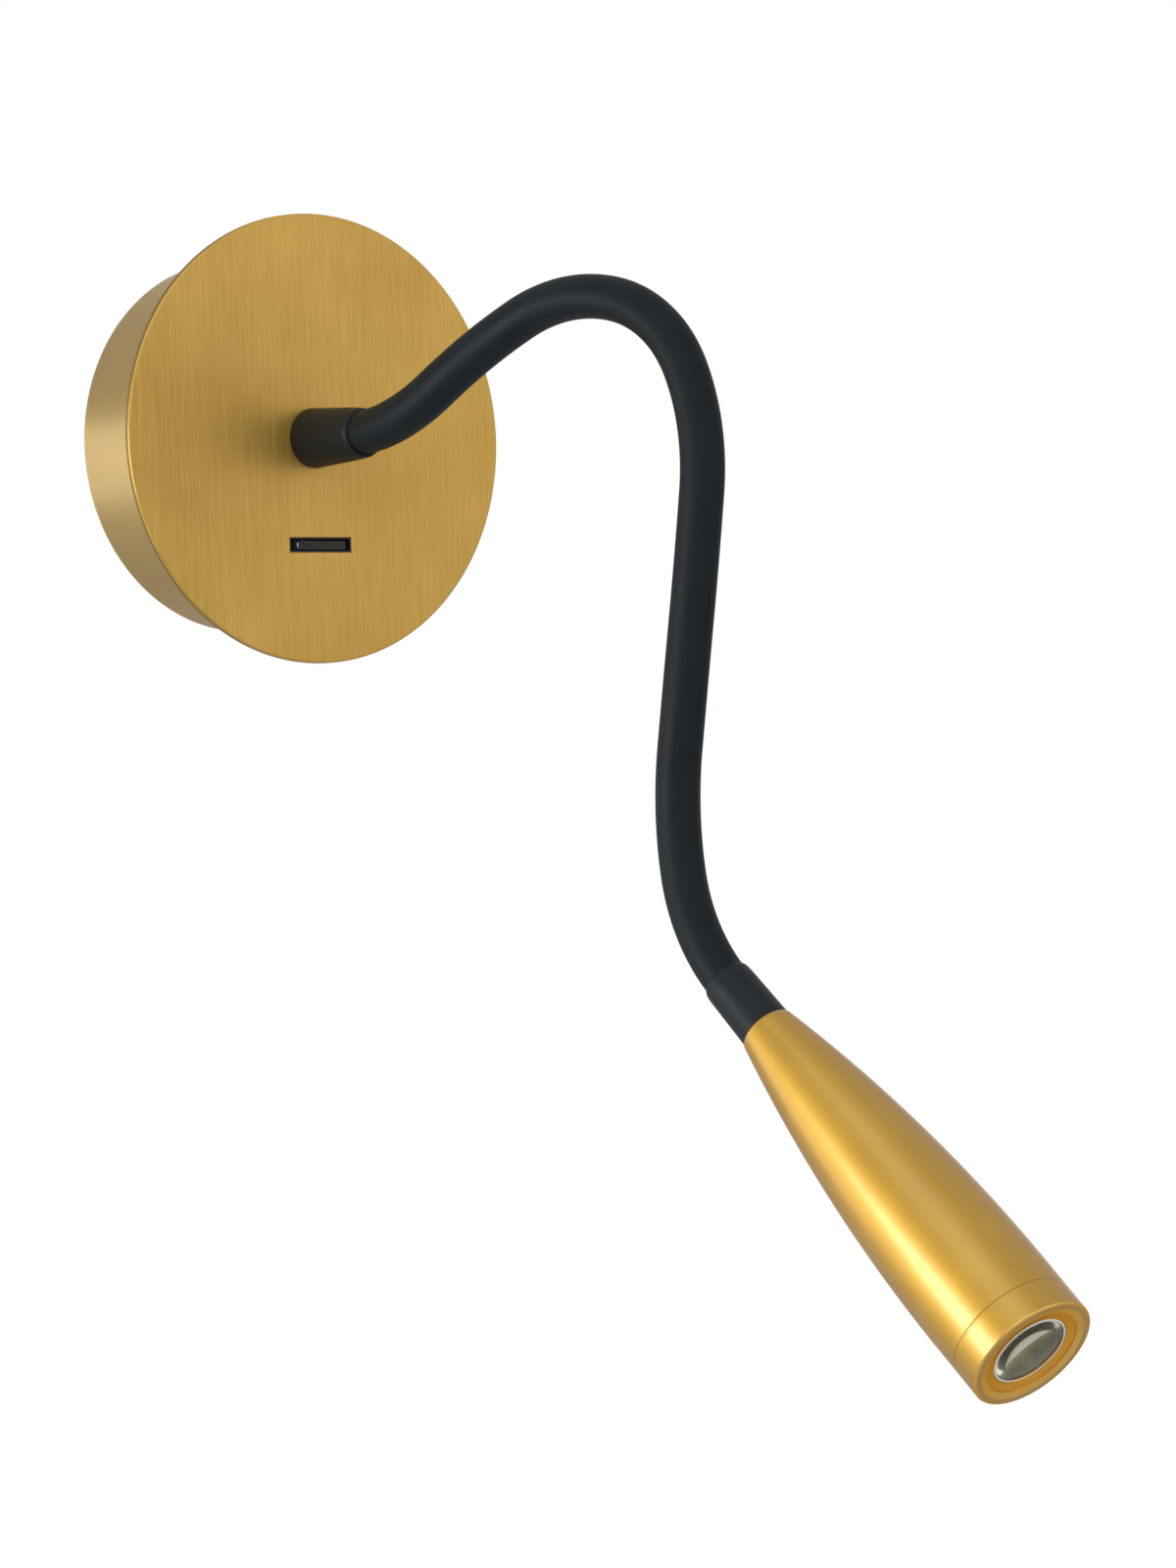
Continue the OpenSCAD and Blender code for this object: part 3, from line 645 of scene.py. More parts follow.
@dataclass
class Base:
    """The cover plate, the casing behind it and what holds them."""

    plate_d: float = 100.0
    plate_t: float = 1.5
    plate_edge: float = 0.35
    casing_d: float = 83.0
    casing_depth: float = 28.5
    casing_wall: float = 1.2
    casing_edge: float = 1.2
    hole_d: float = 8.4
    slot_l: float = 16.6
    slot_h: float = 3.2
    slot_side: float = 0.8
    slot_drop: float = 23.7
    slot_edge: float = 0.24
    slot_sharp: float = 5.0
    broken_edge: float = 0.2
    fillet: float = 0.4
    side_hole_d: float = 3.4
    side_screw_out: float = 6.0
    stud_angle: float = 35.0
    stud_ring_r: float = 33.0
    stud_d: float = 3.0
    stud_reach: float = 4.0
    stud_lead: float = 0.3
    stud_pitch: float = 0.5
    stud_groove: float = 0.27

    @property
    def front(self) -> float:
        """Distance of the plate's face from the wall."""
        return self.casing_depth + self.plate_t

    def build(self) -> None:
        """Makes and dresses every piece of the base."""
        self.build_plate()
        self.build_casing()
        for node, name, finish, edge in (
            ("wall_bracket", "bracket", BRACKET_STEEL, 0.12),
            ("side_screw_top", "screw_upper", SCREW_GOLD, 0.08),
            ("side_screw_bottom", "screw_lower", SCREW_GOLD, 0.08),
            ("cable_grommet", "grommet", GROMMET_RUBBER, 0.0),
            ("terminal_block", "terminals", BLOCK_WHITE, 0.15),
            ("driver_case", "driver", DRIVER_WHITE, 0.1),
            ("stud_nut_left", "nut_left", FIXING_STEEL, 0.1),
            ("stud_nut_right", "nut_right", FIXING_STEEL, 0.1),
            ("neck_washer", "washer", FIXING_STEEL, 0.08),
            ("neck_nut", "lock_nut", FIXING_STEEL, 0.15),
            ("neck_fitting", "root_fitting", FITTING_BRASS, 0.0),
        ):
            from_node(node, name, finish, edge)

    def slot_tool(self) -> bpy.types.Object:
        """Returns the block that cuts the switch's slot."""
        half_l, half_h = self.slot_l / 2, self.slot_h / 2
        low = (self.slot_side - half_l, -self.slot_drop - half_h, -1)
        high = (self.slot_side + half_l, -self.slot_drop + half_h, self.front + 1)
        bm = box(low, high)
        bmesh.ops.transform(bm, matrix=OUTWARD, verts=bm.verts)
        return to_object(bm, "slot_tool")

    def build_plate(self) -> None:
        """Turns the plate with its rounded rim, cuts the slot and adds the studs."""
        outer, hole_r, back = self.plate_d / 2, self.hole_d / 2, self.casing_depth
        edge, burr, support = self.plate_edge, self.broken_edge, 0.15
        outline = [(hole_r, self.front), (outer - edge - support, self.front)]
        outline += arc((outer - edge, self.front - edge), edge, 90, 0, 6)
        outline += [(outer, back + burr), (outer - burr, back), (outer - 2 * burr, back)]
        outline += [(hole_r, back)]
        bm = lathe(outline, 180)
        bmesh.ops.transform(bm, matrix=OUTWARD, verts=bm.verts)
        plate = to_object(bm, "plate")
        cut(plate, self.slot_tool())

        def break_slot(bm: bmesh.types.BMesh) -> None:
            """Breaks the slot's edges in the plate's face."""
            slack = 0.01
            centre = Vector((self.slot_side, -self.front, -self.slot_drop)) * MM
            reach = Vector((self.slot_l / 2 + slack, slack, self.slot_h / 2 + slack)) * MM

            def near(vert: bmesh.types.BMVert, by: Vector) -> bool:
                """Tells whether a vertex lies in a box round the slot's mouth."""
                return all(abs(a) < b for a, b in zip(vert.co - centre, by))

            rim = [e for e in bm.edges if all(near(v, reach) for v in e.verts)]
            bmesh.ops.bevel(
                bm, geom=rim, offset=self.slot_edge * MM, segments=2, profile=0.5,
                affect="EDGES", material=-1,
            )
            for face in bm.faces:
                face.smooth = True
            mouth = reach + Vector((1, 10, 1)) * MM
            for edge in bm.edges:
                in_slot = any(near(v, mouth) for v in edge.verts)
                sharp = self.slot_sharp if in_slot else SHARP
                edge.smooth = edge.calc_face_angle(0.0) < math.radians(sharp)

        reshape(plate, break_slot)
        for side in Side:
            self.build_stud(side)
        dress(plate, PLATE_GOLD, "base", "plate_gold", "cover_plate")
        # Painted shade: the plate's edge takes a darker gold for the shadowed joint beside the
        # casing.
        side_r = outer - 0.03
        paint_light_and_shade(plate, PLATE_EDGE_PAINTED_SHADE, lambda spot: math.hypot(spot.x, spot.z) > side_r)

    def build_stud(self, side: Side) -> None:
        """Turns one of the two welded studs behind the plate, with its thread.

        Args:
            side: Side that it stands on.
        """
        angle = math.radians(self.stud_angle)
        start = self.casing_depth - self.casing_wall - self.stud_reach
        radius, pitch = self.stud_d / 2, self.stud_pitch
        outline: list[Point2] = [(0, start), (radius - self.fillet, start)]
        crest = start + self.stud_lead
        while crest < self.casing_depth - pitch:
            outline += [(radius, crest), (radius - self.stud_groove, crest + pitch / 2)]
            crest += pitch
        outline += [(radius, self.casing_depth), (0, self.casing_depth)]
        bm = lathe(outline, 24, closed=False)
        across, down = self.stud_ring_r * math.cos(angle), self.stud_ring_r * math.sin(angle)
        bmesh.ops.translate(bm, vec=(side.value * across, -down, 0), verts=bm.verts)
        bmesh.ops.transform(bm, matrix=OUTWARD, verts=bm.verts)
        stud = to_object(bm, f"stud_{side.name.lower()}", sharp=50)
        dress(stud, FIXING_STEEL, "base", "fixing_steel")

    def build_casing(self) -> None:
        """Turns the casing's cup and cuts its holes."""
        outer, inner = self.casing_d / 2, self.casing_d / 2 - self.casing_wall
        depth, floor = self.casing_depth, self.casing_depth - self.casing_wall
        edge, burr, fillet = self.casing_edge, self.broken_edge, self.fillet
        outline = [(outer - burr, 0.0), (outer, burr), (outer, 2.5 * burr)]
        outline += [(outer, depth - edge - burr)]
        outline += arc((outer - edge, depth - edge), edge, 0, 90, 8)
        outline += [(outer - edge - burr, depth), (self.hole_d / 2, depth)]
        outline += [(self.hole_d / 2, floor), (inner - fillet - burr, floor)]
        outline += arc((inner - fillet, floor - fillet), fillet, 90, 0, 4)
        outline += [(inner, floor - 2 * fillet), (inner, 2 * burr), (inner, burr)]
        outline += [(inner + burr, 0.0)]
        bm = lathe(outline, 160)
        bmesh.ops.transform(bm, matrix=OUTWARD, verts=bm.verts)
        casing = to_object(bm, "casing")
        cut(casing, self.slot_tool())
        drill = bmesh.new()
        bmesh.ops.create_cone(
            drill, cap_ends=True, segments=32, radius1=self.side_hole_d / 2,
            radius2=self.side_hole_d / 2, depth=self.casing_d + 10,
        )
        bmesh.ops.translate(drill, vec=(0, -self.side_screw_out, 0), verts=drill.verts)
        cut(casing, to_object(drill, "drill"))
        dress(casing, CASING_GOLD, "base", "casing_gold", "casing_shell")


@dataclass
class Switch:
    """The small rocker switch behind its slot."""

    case_edge: float = 0.1
    rocker_edge: float = 0.15

    def build(self) -> None:
        """Makes the housing, the rocker and its mark from their CAD nodes, with moulded edges."""
        from_node("switch_housing", "switch_case", SWITCH_ABS, self.case_edge)
        from_node("switch_rocker", "rocker", ROCKER_ABS, self.rocker_edge)
        from_node("switch_mark", "rocker_mark", MARK_INK)


@dataclass
class Neck:
    """The gooseneck: its bend table, rubber sleeve and collars."""

    front: float = 30.0
    radius: float = 4.9
    wall: float = 1.0
    link_len: float = 27.8
    straight: float = 16.0
    tail: float = 14.6
    ferrule: float = 4.1
    turns: tuple[float, ...] = (38, -10, -38.5, -50, -29.5, -1.5, 0.5, 17, 33.1)
    rolls: tuple[float, ...] = (22.5, -21, 0, 0, 0, 0, 0, 0, 3.65)
    steps_round: int = 64
    steps_along: int = 28
    bend_from: float = 0.2
    collar_bore: float = 4.95
    tip_lead: float = 1.8
    tip_gap: float = 0.04
    tip_square: float = 0.8
    base_tip_r: float = 5.65
    base_foot_r: float = 6.7
    base_collar_len: float = 19.4
    head_collar_r: float = 5.9
    head_collar_tip_r: float = 5.55
    head_collar_len: float = 15.9

    def bent(self, share: float, link: int) -> Matrix:
        """Gives the move from a link's start to a place along its bend.

        Args:
            share: Place along the link, from 0 to 1.
            link: Number of the link, from 0.

        Returns:
            The move in the link's rolled frame, in millimetres.
        """
        turn = math.radians(self.turns[link])
        if abs(turn) < 1e-6:
            return Matrix.Translation((0, 0, self.link_len * share))
        centre = Matrix.Translation((0, self.link_len / turn, 0))
        return centre @ Matrix.Rotation(-turn * share, 4, "X") @ centre.inverted()

    def starts(self) -> list[Matrix]:
        """Gives the rolled frame where each link starts, and last the frame where the neck ends."""
        place = OUTWARD @ Matrix.Translation((0, 0, self.front + self.straight))
        frames = []
        for link, roll in enumerate(self.rolls):
            place = place @ Matrix.Rotation(-math.radians(roll), 4, "Z")
            frames.append(place.copy())
            place = place @ self.bent(1.0, link)
        return frames + [place]

    @property
    def head_place(self) -> Matrix:
        """Frame of the lamp head, with local z from its rear to its front."""
        return self.starts()[-1] @ Matrix.Translation((0, 0, self.tail))

    def body(self, link: int) -> str:
        """Names the body on the far side of a link's hinge, or the base for -1."""
        if link < 0:
            return "base"
        return "head" if link == len(self.turns) - 1 else f"link_{link + 1}"

    def build(self) -> None:
        """Makes and dresses the sleeve and both collars."""
        for link in range(len(self.turns)):
            self.build_sleeve(link)
        self.build_collars()

    def sleeve_mesh(self, link: int) -> bmesh.types.BMesh:
        """Spins one length of the sleeve along its bend, with its straight end if it has one.

        Args:
            link: Number of the link, from 0.

        Returns:
            The walled tube in place, in millimetres.
        """
        last = link == len(self.turns) - 1
        bm = bmesh.new()
        bmesh.ops.create_circle(bm, segments=self.steps_round, radius=self.radius)
        ring = list(bm.edges)
        if link == 0:
            lead = self.straight - self.ferrule
            bmesh.ops.translate(bm, vec=(0, 0, -lead), verts=bm.verts)
            ring = self.pull(bm, ring, lead, 4)
        turn = math.radians(self.turns[link])
        spun = bmesh.ops.spin(
            bm, geom=ring + list({v for e in ring for v in e.verts}),
            cent=(0, self.link_len / turn, 0), axis=(-1, 0, 0), angle=turn, steps=self.steps_along,
        )
        ring = [g for g in spun["geom_last"] if isinstance(g, bmesh.types.BMEdge)]
        if last:
            way = self.bent(1.0, link).to_3x3() @ Vector((0, 0, 1))
            ring = self.pull(bm, ring, self.tail - self.ferrule, 4, way)
        bmesh.ops.recalc_face_normals(bm, faces=bm.faces)
        bmesh.ops.solidify(bm, geom=bm.faces[:], thickness=self.wall)
        bmesh.ops.recalc_face_normals(bm, faces=bm.faces)
        bmesh.ops.transform(bm, matrix=self.starts()[link], verts=bm.verts)
        return bm

    @staticmethod
    def pull(
        bm: bmesh.types.BMesh, ring: list[bmesh.types.BMEdge], length: float, steps: int,
        way: Vector = Vector((0, 0, 1)),
    ) -> list[bmesh.types.BMEdge]:
        """Extrudes an open ring straight on.

        Args:
            bm: The mesh.
            ring: Edges of the open ring.
            length: Distance in millimetres.
            steps: Number of stretches.
            way: Direction.

        Returns:
            Edges of the new open ring.
        """
        for _ in range(steps):
            made = bmesh.ops.extrude_edge_only(bm, edges=ring)["geom"]
            verts = [g for g in made if isinstance(g, bmesh.types.BMVert)]
            bmesh.ops.translate(bm, vec=way * (length / steps), verts=verts)
            ring = [
                g for g in made
                if isinstance(g, bmesh.types.BMEdge) and all(v in verts for v in g.verts)
            ]
        return ring

    def build_sleeve(self, link: int) -> None:
        """Makes one length of sleeve, in its rest shape.

        Args:
            link: Number of the link, from 0.
        """
        piece = to_object(self.sleeve_mesh(link), f"sleeve_rubber_{link + 1}")
        start = self.starts()[link]
        piece.data.materials.append(SLEEVE_RUBBER.material())
        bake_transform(piece)
        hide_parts(f"sleeve_{link + 1}")
        LOG.info("%s: %d faces", piece.name, len(piece.data.polygons))

    def tip_curve(self, tip: float, foot: float, rise: float) -> list[Point2]:
        """Gives the rounded tip of a collar, drawn in close to the sleeve.

        Args:
            tip: Outer radius where the curve begins.
            foot: Place along the collar where it begins.
            rise: Length of the curve, below zero if it runs towards the collar's start.

        Returns:
            Points from the outside to the bore.
        """
        near = self.collar_bore + self.tip_gap
        return [
            (near + (tip - near) * math.cos(t) ** self.tip_square, foot + rise * math.sin(t))
            for t in (math.radians(a) for a in range(0, 91, 10))
        ]

    def build_collars(self) -> None:
        """Turns the collar at the plate and the collar at the lamp head."""
        bore, tip, foot = self.collar_bore, self.base_tip_r, self.base_foot_r
        length, lead, burr = self.base_collar_len, self.tip_lead, 0.05
        slope = (foot - tip) / length
        outline = [(bore, 0), (foot - burr, 0), (foot, burr)]
        outline += [(foot - slope * z, z) for z in (4, 8, 12, 16)]
        outline += self.tip_curve(tip, length - lead, lead)
        outline += [(bore, length - self.tip_gap)]
        place = OUTWARD @ Matrix.Translation((0, 0, self.front))
        self.put_collar(outline, place, "collar_at_plate", "base", "base_collar")

        tip, foot, length = self.head_collar_tip_r, self.head_collar_r, self.head_collar_len
        slope = (foot - tip) / length
        outline = [(bore, length), (foot, length)]
        outline += [(foot - slope * (length - z), z) for z in (12, 8, 4, 2)]
        outline += self.tip_curve(tip, lead, -lead)
        outline += [(bore, self.tip_gap)]
        place = self.head_place @ Matrix.Translation((0, 0, -length))
        self.put_collar(outline, place, "collar_at_head", "head", "head_collar")

    @staticmethod
    def put_collar(outline: list[Point2], place: Matrix, name: str, body: str, node: str) -> None:
        """Turns a collar, places it and dresses it.

        Args:
            outline: Its outline in millimetres.
            place: Its frame, with local z along the neck.
            name: Name of the piece.
            body: The CAD body that it rides on.
            node: The CAD node that it replaces.
        """
        bm = lathe(outline, 96)
        bmesh.ops.transform(bm, matrix=place, verts=bm.verts)
        dress(to_object(bm, name), COLLAR_RUBBER_PAINTED_LIGHT, body, "collar_rubber", node)


@dataclass
class LampHead:
    """The tapered shell, the front ring, the lens and the light source."""

    place: Matrix
    head_d: float = 29.5
    rear_d: float = 12.3
    shell_len: float = 93.5
    taper_len: float = 86.0
    rear_edge: float = 0.8
    stem_r: float = 4.05
    rear_wall: float = 6.0
    wall: float = 1.5
    seam: float = 0.08
    seam_edge: float = 0.06
    thread_r: float = 12.95
    thread_from: float = 82.5
    ring_len: float = 7.7
    ring_edge: float = 0.5
    rim_w: float = 1.25
    rim_round: float = 0.5
    step_d: float = 22.7
    step_depth: float = 0.35
    step_h: float = 0.25
    step_round: float = 0.1
    dish_depth: float = 1.1
    lip_t: float = 1.2
    spigot_r: float = 12.85
    spigot_len: float = 9.0
    bore_r: float = 11.65
    lens_d: float = 18.2
    lens_border: float = 0.6
    lens_frost: float = 0.5
    lens_chamfer: float = 0.1
    lens_gap: float = 0.1
    flange_w: float = 1.5
    flange_t: float = 1.5
    lens_sink: float = 1.1
    dome_h: float = 1.6
    bulge: float = 1.6
    gasket_t: float = 0.8
    steps_round: int = 144

    @property
    def length(self) -> float:
        """Length from the rear of the shell to the rim."""
        return self.shell_len + self.ring_len

    @property
    def lip_back(self) -> float:
        """Place of the rear side of the lip that holds the lens."""
        return self.length - self.dish_depth - self.lip_t

    @property
    def dish_r(self) -> float:
        """Radius where the rim ends and the dish begins."""
        return self.head_d / 2 - self.ring_edge - self.rim_w

    def put(
        self, bm: bmesh.types.BMesh, name: str, finish: Finish, slot: str, node: str
    ) -> bpy.types.Object:
        """Places a turned piece on the head's axis and dresses it.

        Args:
            bm: The piece, with local z from the head's rear to its front.
            name: Name of the piece.
            finish: Its finish.
            slot: The record's material slot.
            node: The CAD node that it replaces.

        Returns:
            The piece.
        """
        bmesh.ops.transform(bm, matrix=self.place, verts=bm.verts)
        return dress(to_object(bm, name), finish, "head", slot, node)

    def build(self) -> None:
        """Makes and dresses every piece of the head."""
        self.put(self.shell_mesh(), "shell", HEAD_GOLD, "head_gold", "head_shell")
        ring = self.put(self.ring_mesh(), "front_bezel", HEAD_GOLD, "head_gold", "front_ring")
        step_r, outer, edge = self.step_d / 2, self.head_d / 2, self.ring_edge
        step_foot = self.length - self.step_depth - self.step_h
        # Painted light: the dish is a brighter orange gold for the light that bounces round inside
        # it.
        self.paint_front_light(ring, DISH_PAINTED_LIGHT, 0.0, step_r, self.lip_back)
        # Painted highlights: the bevel inside the rim and the ring's outer edge take a paler gold.
        self.paint_front_light(ring, BEVEL_PAINTED_HIGHLIGHT, step_r, self.dish_r, step_foot)
        self.paint_front_light(ring, BEVEL_PAINTED_HIGHLIGHT, outer - edge, outer, self.length - edge)
        lens = self.put(self.lens_mesh(), "lens_glass", LENS_ACRYLIC, "lens_clear", "lens")
        lens_r, rim = self.lens_d / 2, self.length - self.lens_sink - self.lens_chamfer
        # Painted highlight: the lens's edge takes a near white ring.
        self.paint_front_light(lens, LENS_EDGE_PAINTED_HIGHLIGHT, lens_r - self.lens_frost, lens_r, rim)
        for node, name, finish in (
            ("head_fitting", "tip_fitting", FITTING_BRASS),
            ("heat_sink", "fins", SINK_ALUMINIUM),
            ("led_board", "board", BOARD_WHITE),
            ("led_chip", "chip", CHIP_YELLOW),
            ("lens_holder", "reflector", REFLECTOR_PAINTED_SHADE),
            ("lens_gasket", "seal", GASKET_RUBBER),
        ):
            from_node(node, name, finish)

    def shell_mesh(self) -> bmesh.types.BMesh:
        """Turns the shell: a rounded rear edge, one long arc, a short straight end and its bore."""
        rear, front_r = self.rear_d / 2, self.head_d / 2
        drop = front_r - rear
        sweep = (self.taper_len ** 2 + drop ** 2) / (2 * drop)

        def side(z: float, inset: float = 0.0) -> float:
            """Radius of the arc at a place along the head."""
            away = max(0.0, self.taper_len - z)
            return front_r - sweep + math.sqrt((sweep - inset) ** 2 - away ** 2)

        edge, end, support = self.rear_edge, self.shell_len - self.seam, 0.3
        outline = [(self.stem_r, 0.0), (rear - edge - support, 0.0)]
        outline += arc((side(edge) - edge, edge), edge, -90, -12, 7)
        span = self.taper_len - 2 * edge
        outline += [(side(z), z) for z in (2 * edge + span * i / 40 for i in range(41))]
        small = self.seam_edge
        outline += [(front_r, (self.taper_len + end) / 2), (front_r, end - 2 * small)]
        outline += arc((front_r - small, end - small), small, 0, 90, 3)
        outline += [(self.thread_r, end), (self.thread_r, self.thread_from)]
        hollow, hollow_end = self.thread_from - 1, self.rear_wall + 10
        fall = hollow - hollow_end
        outline += [(side(z, self.wall), z) for z in (hollow - fall * i / 8 for i in range(9))]
        outline += [(self.stem_r, self.rear_wall + 4)]
        return lathe(outline, self.steps_round)

    def ring_mesh(self) -> bmesh.types.BMesh:
        """Turns the front ring: its rounded rim, dished face, fine step, lip and spigot."""
        outer, rim, edge = self.head_d / 2, self.length, self.ring_edge
        start, small, support = self.shell_len, self.seam_edge, 0.3
        lip_r = self.lens_d / 2 + self.lens_gap
        floor = rim - self.dish_depth
        step_r, step, dish_r = self.step_d / 2, rim - self.step_depth, self.dish_r
        outline = [(self.spigot_r, start), (outer - 2 * small, start)]
        outline += arc((outer - small, start + small), small, -90, 0, 3)
        outline += [(outer, start + 1), (outer, rim - edge - support)]
        outline += arc((outer - edge, rim - edge), edge, 0, 90, 8)
        wide, fine = self.rim_round, self.step_round
        slope = math.atan2(self.step_depth, dish_r - step_r)
        facing = 90 + math.degrees(slope)
        outline += arc((dish_r + wide * math.tan(slope / 2), rim - wide), wide, 90, facing, 5)
        turn = (math.pi / 2 - slope) / 2
        run = fine * math.tan(turn)
        from_step = (
            step_r + run * math.cos(slope) + fine * math.sin(slope),
            step + run * math.sin(slope) - fine * math.cos(slope),
        )
        outline += arc(from_step, fine, facing, 180, 5)
        foot, nick = step - self.step_h, 0.02
        outline += [(step_r, foot + nick), (step_r - 0.03, foot - nick)]
        # The dish runs out flat before the lip, whose edge is broken.
        outline += [(lip_r + 0.4, floor + 0.05), (lip_r + 0.2, floor), (lip_r + 0.06, floor)]
        outline += [(lip_r, floor - 0.08), (lip_r, self.lip_back)]
        seat_r = self.lens_d / 2 + self.flange_w + self.lens_gap
        gasket = self.lip_back - self.flange_t - self.gasket_t
        back = self.shell_len - self.spigot_len
        outline += [(seat_r, self.lip_back), (seat_r, gasket), (self.bore_r, gasket)]
        outline += [(self.bore_r, back), (self.spigot_r, back)]
        return lathe(outline, self.steps_round)

    def paint_front_light(
        self, piece: bpy.types.Object, finish: Finish, inner: float, outer: float, back: float
    ) -> None:
        """Paints light on the front of a turned piece, between two radii, with a finish of its own.

        Args:
            piece: The piece, dressed all over.
            finish: Finish that paints the light on its front.
            inner: Inner radius.
            outer: Outer radius.
            back: Place on the head's axis where the front begins.
        """
        to_head = self.place.inverted()

        def in_front(middle: Vector) -> bool:
            """Tells whether a spot lies between the radii, in front of the back."""
            spot = to_head @ middle
            return inner < math.hypot(spot.x, spot.y) < outer and spot.z > back

        paint_light_and_shade(piece, finish, in_front)

    def lens_mesh(self) -> bmesh.types.BMesh:
        """Turns the lens: a bulged back, a flange and a shallow dome in a flat border."""
        r = self.lens_d / 2
        edge = self.length - self.lens_sink
        foot = r - self.lens_border
        dome = (foot ** 2 + self.dome_h ** 2) / (2 * self.dome_h)
        rise = math.degrees(math.asin(foot / dome))
        back = self.lip_back - self.flange_t
        rim = r - self.gasket_t / 2
        bulge = (rim ** 2 + self.bulge ** 2) / (2 * self.bulge)
        fall = math.degrees(math.asin(rim / bulge))
        outline: list[Point2] = [(0, back - self.bulge)]
        outline += arc((0, back - self.bulge + bulge), bulge, -90, fall - 90, 20)[1:]
        flange = r + self.flange_w
        outline += [(flange, back), (flange, self.lip_back), (r, self.lip_back)]
        outline += [(r, edge - self.lens_chamfer), (r - self.lens_chamfer, edge)]
        outline += [(r - self.lens_frost, edge)]
        outline += arc((0, edge + self.dome_h - dome), dome, 90 - rise, 90, 24)[:-1]
        outline += [(0, edge + self.dome_h)]
        return lathe(outline, 96, closed=False)


# Studio


@dataclass(frozen=True)
class SoftBox:
    """A soft box that faces the object: its direction in degrees, sizes in metres, power in watts.

    The azimuth runs from +X towards +Y, and the elevation is the angle above the level.
    """

    name: str
    azimuth: float
    elevation: float
    away: float
    width: float
    height: float
    power: float

    def hang(self, aim: Vector) -> None:
        """Hangs the soft box.

        Args:
            aim: Point that it faces, in metres.
        """
        a, e = math.radians(self.azimuth), math.radians(self.elevation)
        way = Vector((math.cos(a) * math.cos(e), math.sin(a) * math.cos(e), math.sin(e)))
        data = bpy.data.lights.new(self.name, "AREA")
        data.shape = "RECTANGLE"
        data.size = self.width
        data.size_y = self.height
        data.energy = self.power
        lamp = bpy.data.objects.new(self.name, data)
        lamp.rotation_mode = "QUATERNION"
        lamp.rotation_quaternion = way.to_track_quat("Z", "Y")
        lamp.location = aim + way * self.away
        bpy.context.scene.collection.objects.link(lamp)


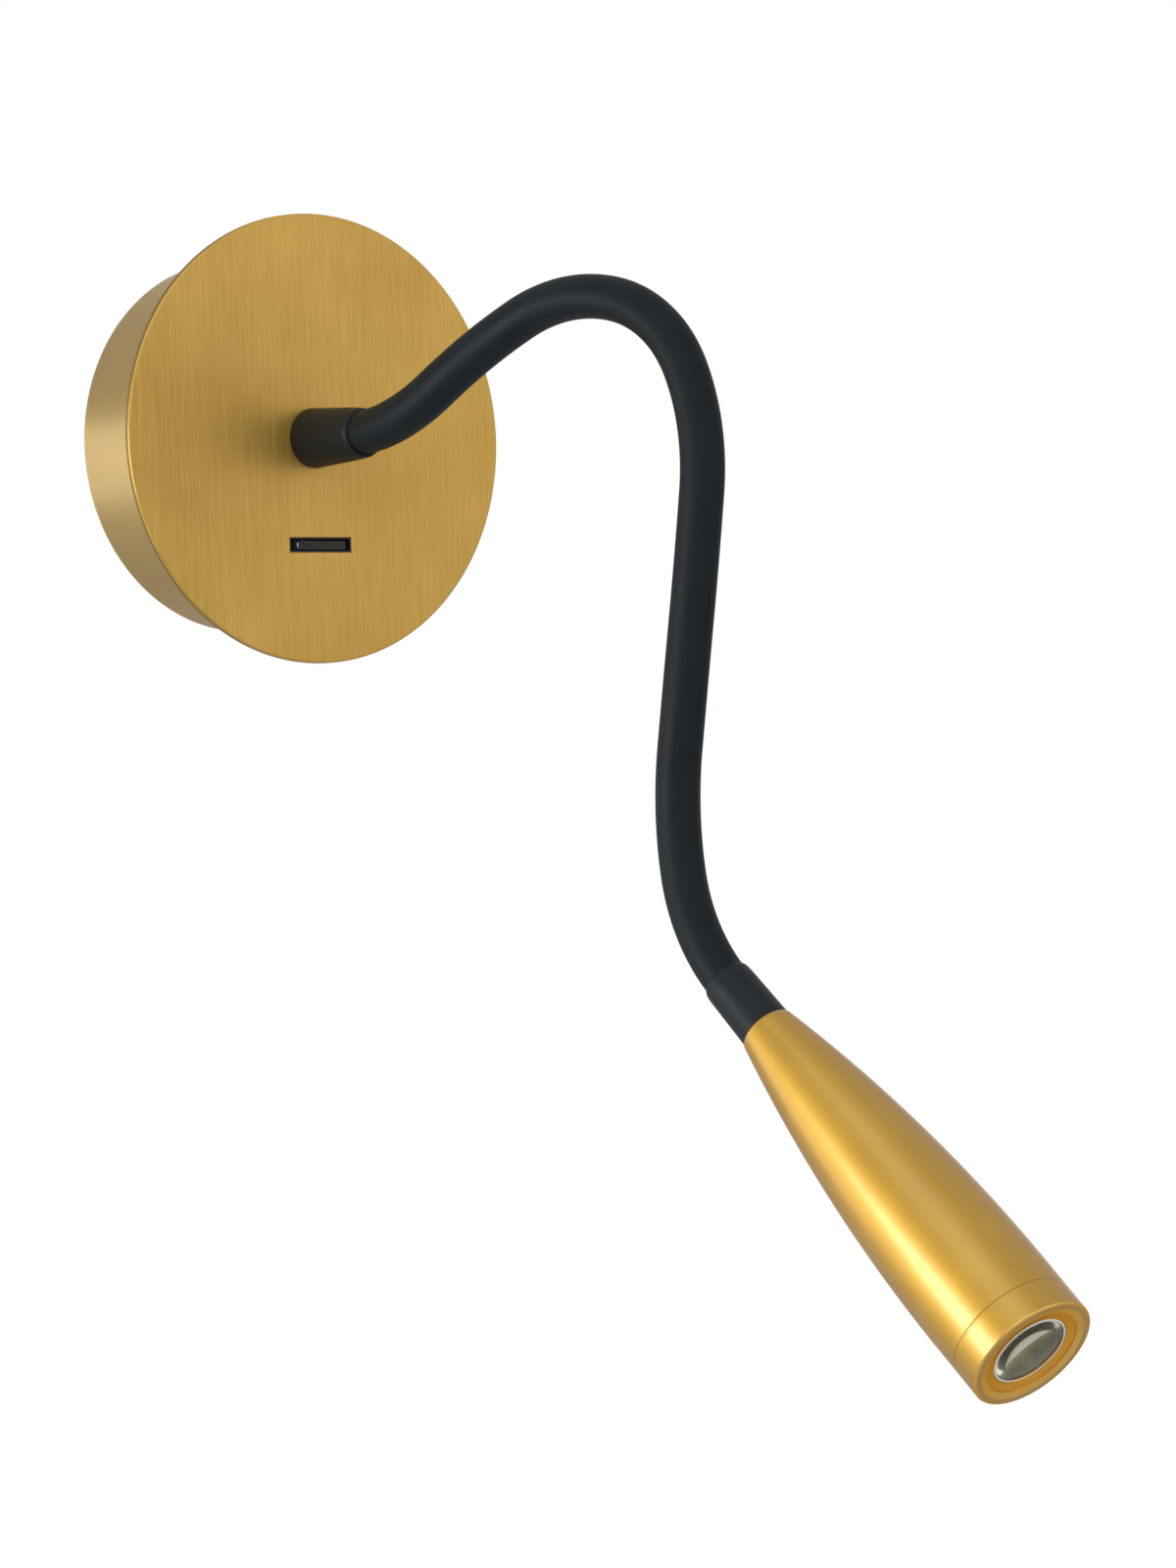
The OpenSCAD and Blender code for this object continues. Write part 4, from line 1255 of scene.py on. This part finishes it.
@dataclass
class Studio:
    """The camera, the lamps, the surroundings and the pale floor."""

    distance: float = 3.0
    azimuth: float = -36.42
    elevation: float = -1.62
    roll: float = 1.89
    aim_right: float = 78.5
    aim_up: float = -75.5
    focal_px: float = 13677.0
    picture_px: float = 1600.0
    sensor: float = 36.0
    floor_z: float = -0.36
    floor_half: float = 8.0
    floor_colour: str = "#D6D6D6"
    floor_glow: float = 0.68
    room_low: float = 0.46
    room_high: float = 0.66
    backdrop_from: float = 0.9
    backdrop_full: float = 0.975
    lamps_aim: tuple[float, float, float] = (0.02, -0.15, -0.1)
    lamps: tuple[SoftBox, ...] = (
        SoftBox("key", azimuth=166, elevation=0, away=1.3, width=0.75, height=0.5, power=9.0),
        SoftBox("side", azimuth=125, elevation=0, away=1.2, width=0.3, height=0.6, power=0.8),
        SoftBox("top", azimuth=-150, elevation=58, away=1.4, width=0.8, height=0.8, power=1.6),
        SoftBox("front", azimuth=-75, elevation=10, away=2.2, width=2.0, height=2.0, power=6.0),
        SoftBox("fill", azimuth=-130, elevation=21, away=3.6, width=3.2, height=2.6, power=15.0),
    )

    def axes(self) -> tuple[Vector, Vector, Vector]:
        """Returns the picture's right, its up and the way back to the camera."""
        a, e, p = (math.radians(v) for v in (self.azimuth, self.elevation, self.roll))
        back = Vector((math.sin(a) * math.cos(e), -math.cos(a) * math.cos(e), math.sin(e)))
        right = Vector((math.cos(a), math.sin(a), 0))
        up = back.cross(right)
        return (
            right * math.cos(p) - up * math.sin(p), right * math.sin(p) + up * math.cos(p), back
        )

    def build(self) -> None:
        """Sets up everything round the object."""
        bpy.context.scene.view_settings.view_transform = "Standard"
        self.build_camera()
        self.build_surroundings()
        self.build_floor()
        for lamp in self.lamps:
            lamp.hang(Vector(self.lamps_aim))

    def build_camera(self) -> None:
        """Places the camera where the photograph was taken from."""
        right, up, back = self.axes()
        data = bpy.data.cameras.new("camera")
        data.sensor_fit = "VERTICAL"
        data.sensor_height = self.sensor
        data.lens = self.focal_px / self.picture_px * self.sensor
        data.clip_end = 50
        camera = bpy.data.objects.new("camera", data)
        turn = Matrix((right, up, back)).transposed()
        eye = back * self.distance + (right * self.aim_right + up * self.aim_up) * MM
        camera.matrix_world = Matrix.Translation(eye) @ turn.to_4x4()
        bpy.context.scene.collection.objects.link(camera)
        bpy.context.scene.camera = camera

    def build_surroundings(self) -> None:
        """Lights from all round, and shows white to the camera and through glass."""
        world = bpy.data.worlds.new("surroundings")
        bpy.context.scene.world = world
        world.use_nodes = True
        tree = world.node_tree
        tree.nodes.clear()
        way = add_node(tree, "ShaderNodeTexCoord").outputs["Generated"]
        height = add_node(tree, "ShaderNodeSeparateXYZ", {0: way}).outputs["Z"]
        level = add_node(tree, "ShaderNodeMapRange", {
            "Value": height, "From Min": -1.0, "From Max": 1.0,
            "To Min": self.room_low, "To Max": self.room_high,
        }).outputs["Result"]
        white = srgb("#FFFFFF")
        room = add_node(tree, "ShaderNodeBackground", {"Color": white, "Strength": level})
        bright = add_node(tree, "ShaderNodeBackground", {"Color": white, "Strength": 1.0})
        ray = add_node(tree, "ShaderNodeLightPath")
        ahead = add_node(tree, "ShaderNodeVectorMath", {
            0: way, 1: -self.axes()[2],
        }, operation="DOT_PRODUCT").outputs["Value"]
        backdrop = add_node(tree, "ShaderNodeMapRange", {
            "Value": ahead, "From Min": self.backdrop_from, "From Max": self.backdrop_full,
        }, interpolation_type="SMOOTHSTEP").outputs["Result"]
        indirect = add_node(tree, "ShaderNodeMath", {
            0: ray.outputs["Is Glossy Ray"], 1: ray.outputs["Is Transmission Ray"],
        }, operation="MAXIMUM").outputs[0]
        shown = add_node(tree, "ShaderNodeMath", {
            0: indirect, 1: backdrop,
        }, operation="MULTIPLY").outputs[0]
        seen = add_node(tree, "ShaderNodeMath", {
            0: ray.outputs["Is Camera Ray"], 1: shown,
        }, operation="MAXIMUM").outputs[0]
        mix = add_node(tree, "ShaderNodeMixShader", {
            0: seen, 1: room.outputs[0], 2: bright.outputs[0],
        })
        add_node(tree, "ShaderNodeOutputWorld", {"Surface": mix.outputs[0]})

    def build_floor(self) -> None:
        """Lays a plain pale floor well below the light, white where it is lit."""
        bm = bmesh.new()
        bmesh.ops.create_grid(bm, x_segments=1, y_segments=1, size=self.floor_half)
        bmesh.ops.translate(bm, vec=(0, 0, self.floor_z), verts=bm.verts)
        mesh = bpy.data.meshes.new("floor")
        bm.to_mesh(mesh)
        bm.free()
        floor = bpy.data.objects.new("floor", mesh)
        bpy.context.scene.collection.objects.link(floor)
        material = bpy.data.materials.new("pale_matt_floor")
        material.use_nodes = True
        tree = material.node_tree
        tree.nodes.clear()
        plain = add_node(tree, "ShaderNodeBsdfDiffuse", {"Color": srgb(self.floor_colour)})
        glow = add_node(tree, "ShaderNodeEmission", {
            "Color": srgb("#FFFFFF"), "Strength": self.floor_glow,
        })
        lit = add_node(tree, "ShaderNodeAddShader", {0: plain.outputs[0], 1: glow.outputs[0]})
        ray = add_node(tree, "ShaderNodeLightPath")
        seen = add_node(tree, "ShaderNodeMixShader", {
            0: ray.outputs["Is Camera Ray"], 1: plain.outputs[0], 2: lit.outputs[0],
        })
        add_node(tree, "ShaderNodeOutputMaterial", {"Surface": seen.outputs[0]})
        mesh.materials.append(material)


def main() -> None:
    """Builds the studio, then the light: base, switch, neck, head and the neck's wound core."""
    logging.basicConfig(level=logging.INFO, format="%(name)s: %(message)s")
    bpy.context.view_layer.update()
    Studio().build()
    Base().build()
    Switch().build()
    neck = Neck()
    neck.build()
    LampHead(neck.head_place).build()
    for stretch in ("root", *range(1, 9), "tip"):
        from_node(f"core_{stretch}", f"core_wound_{stretch}", CORE_STEEL)


if __name__ == "__main__":
    main()
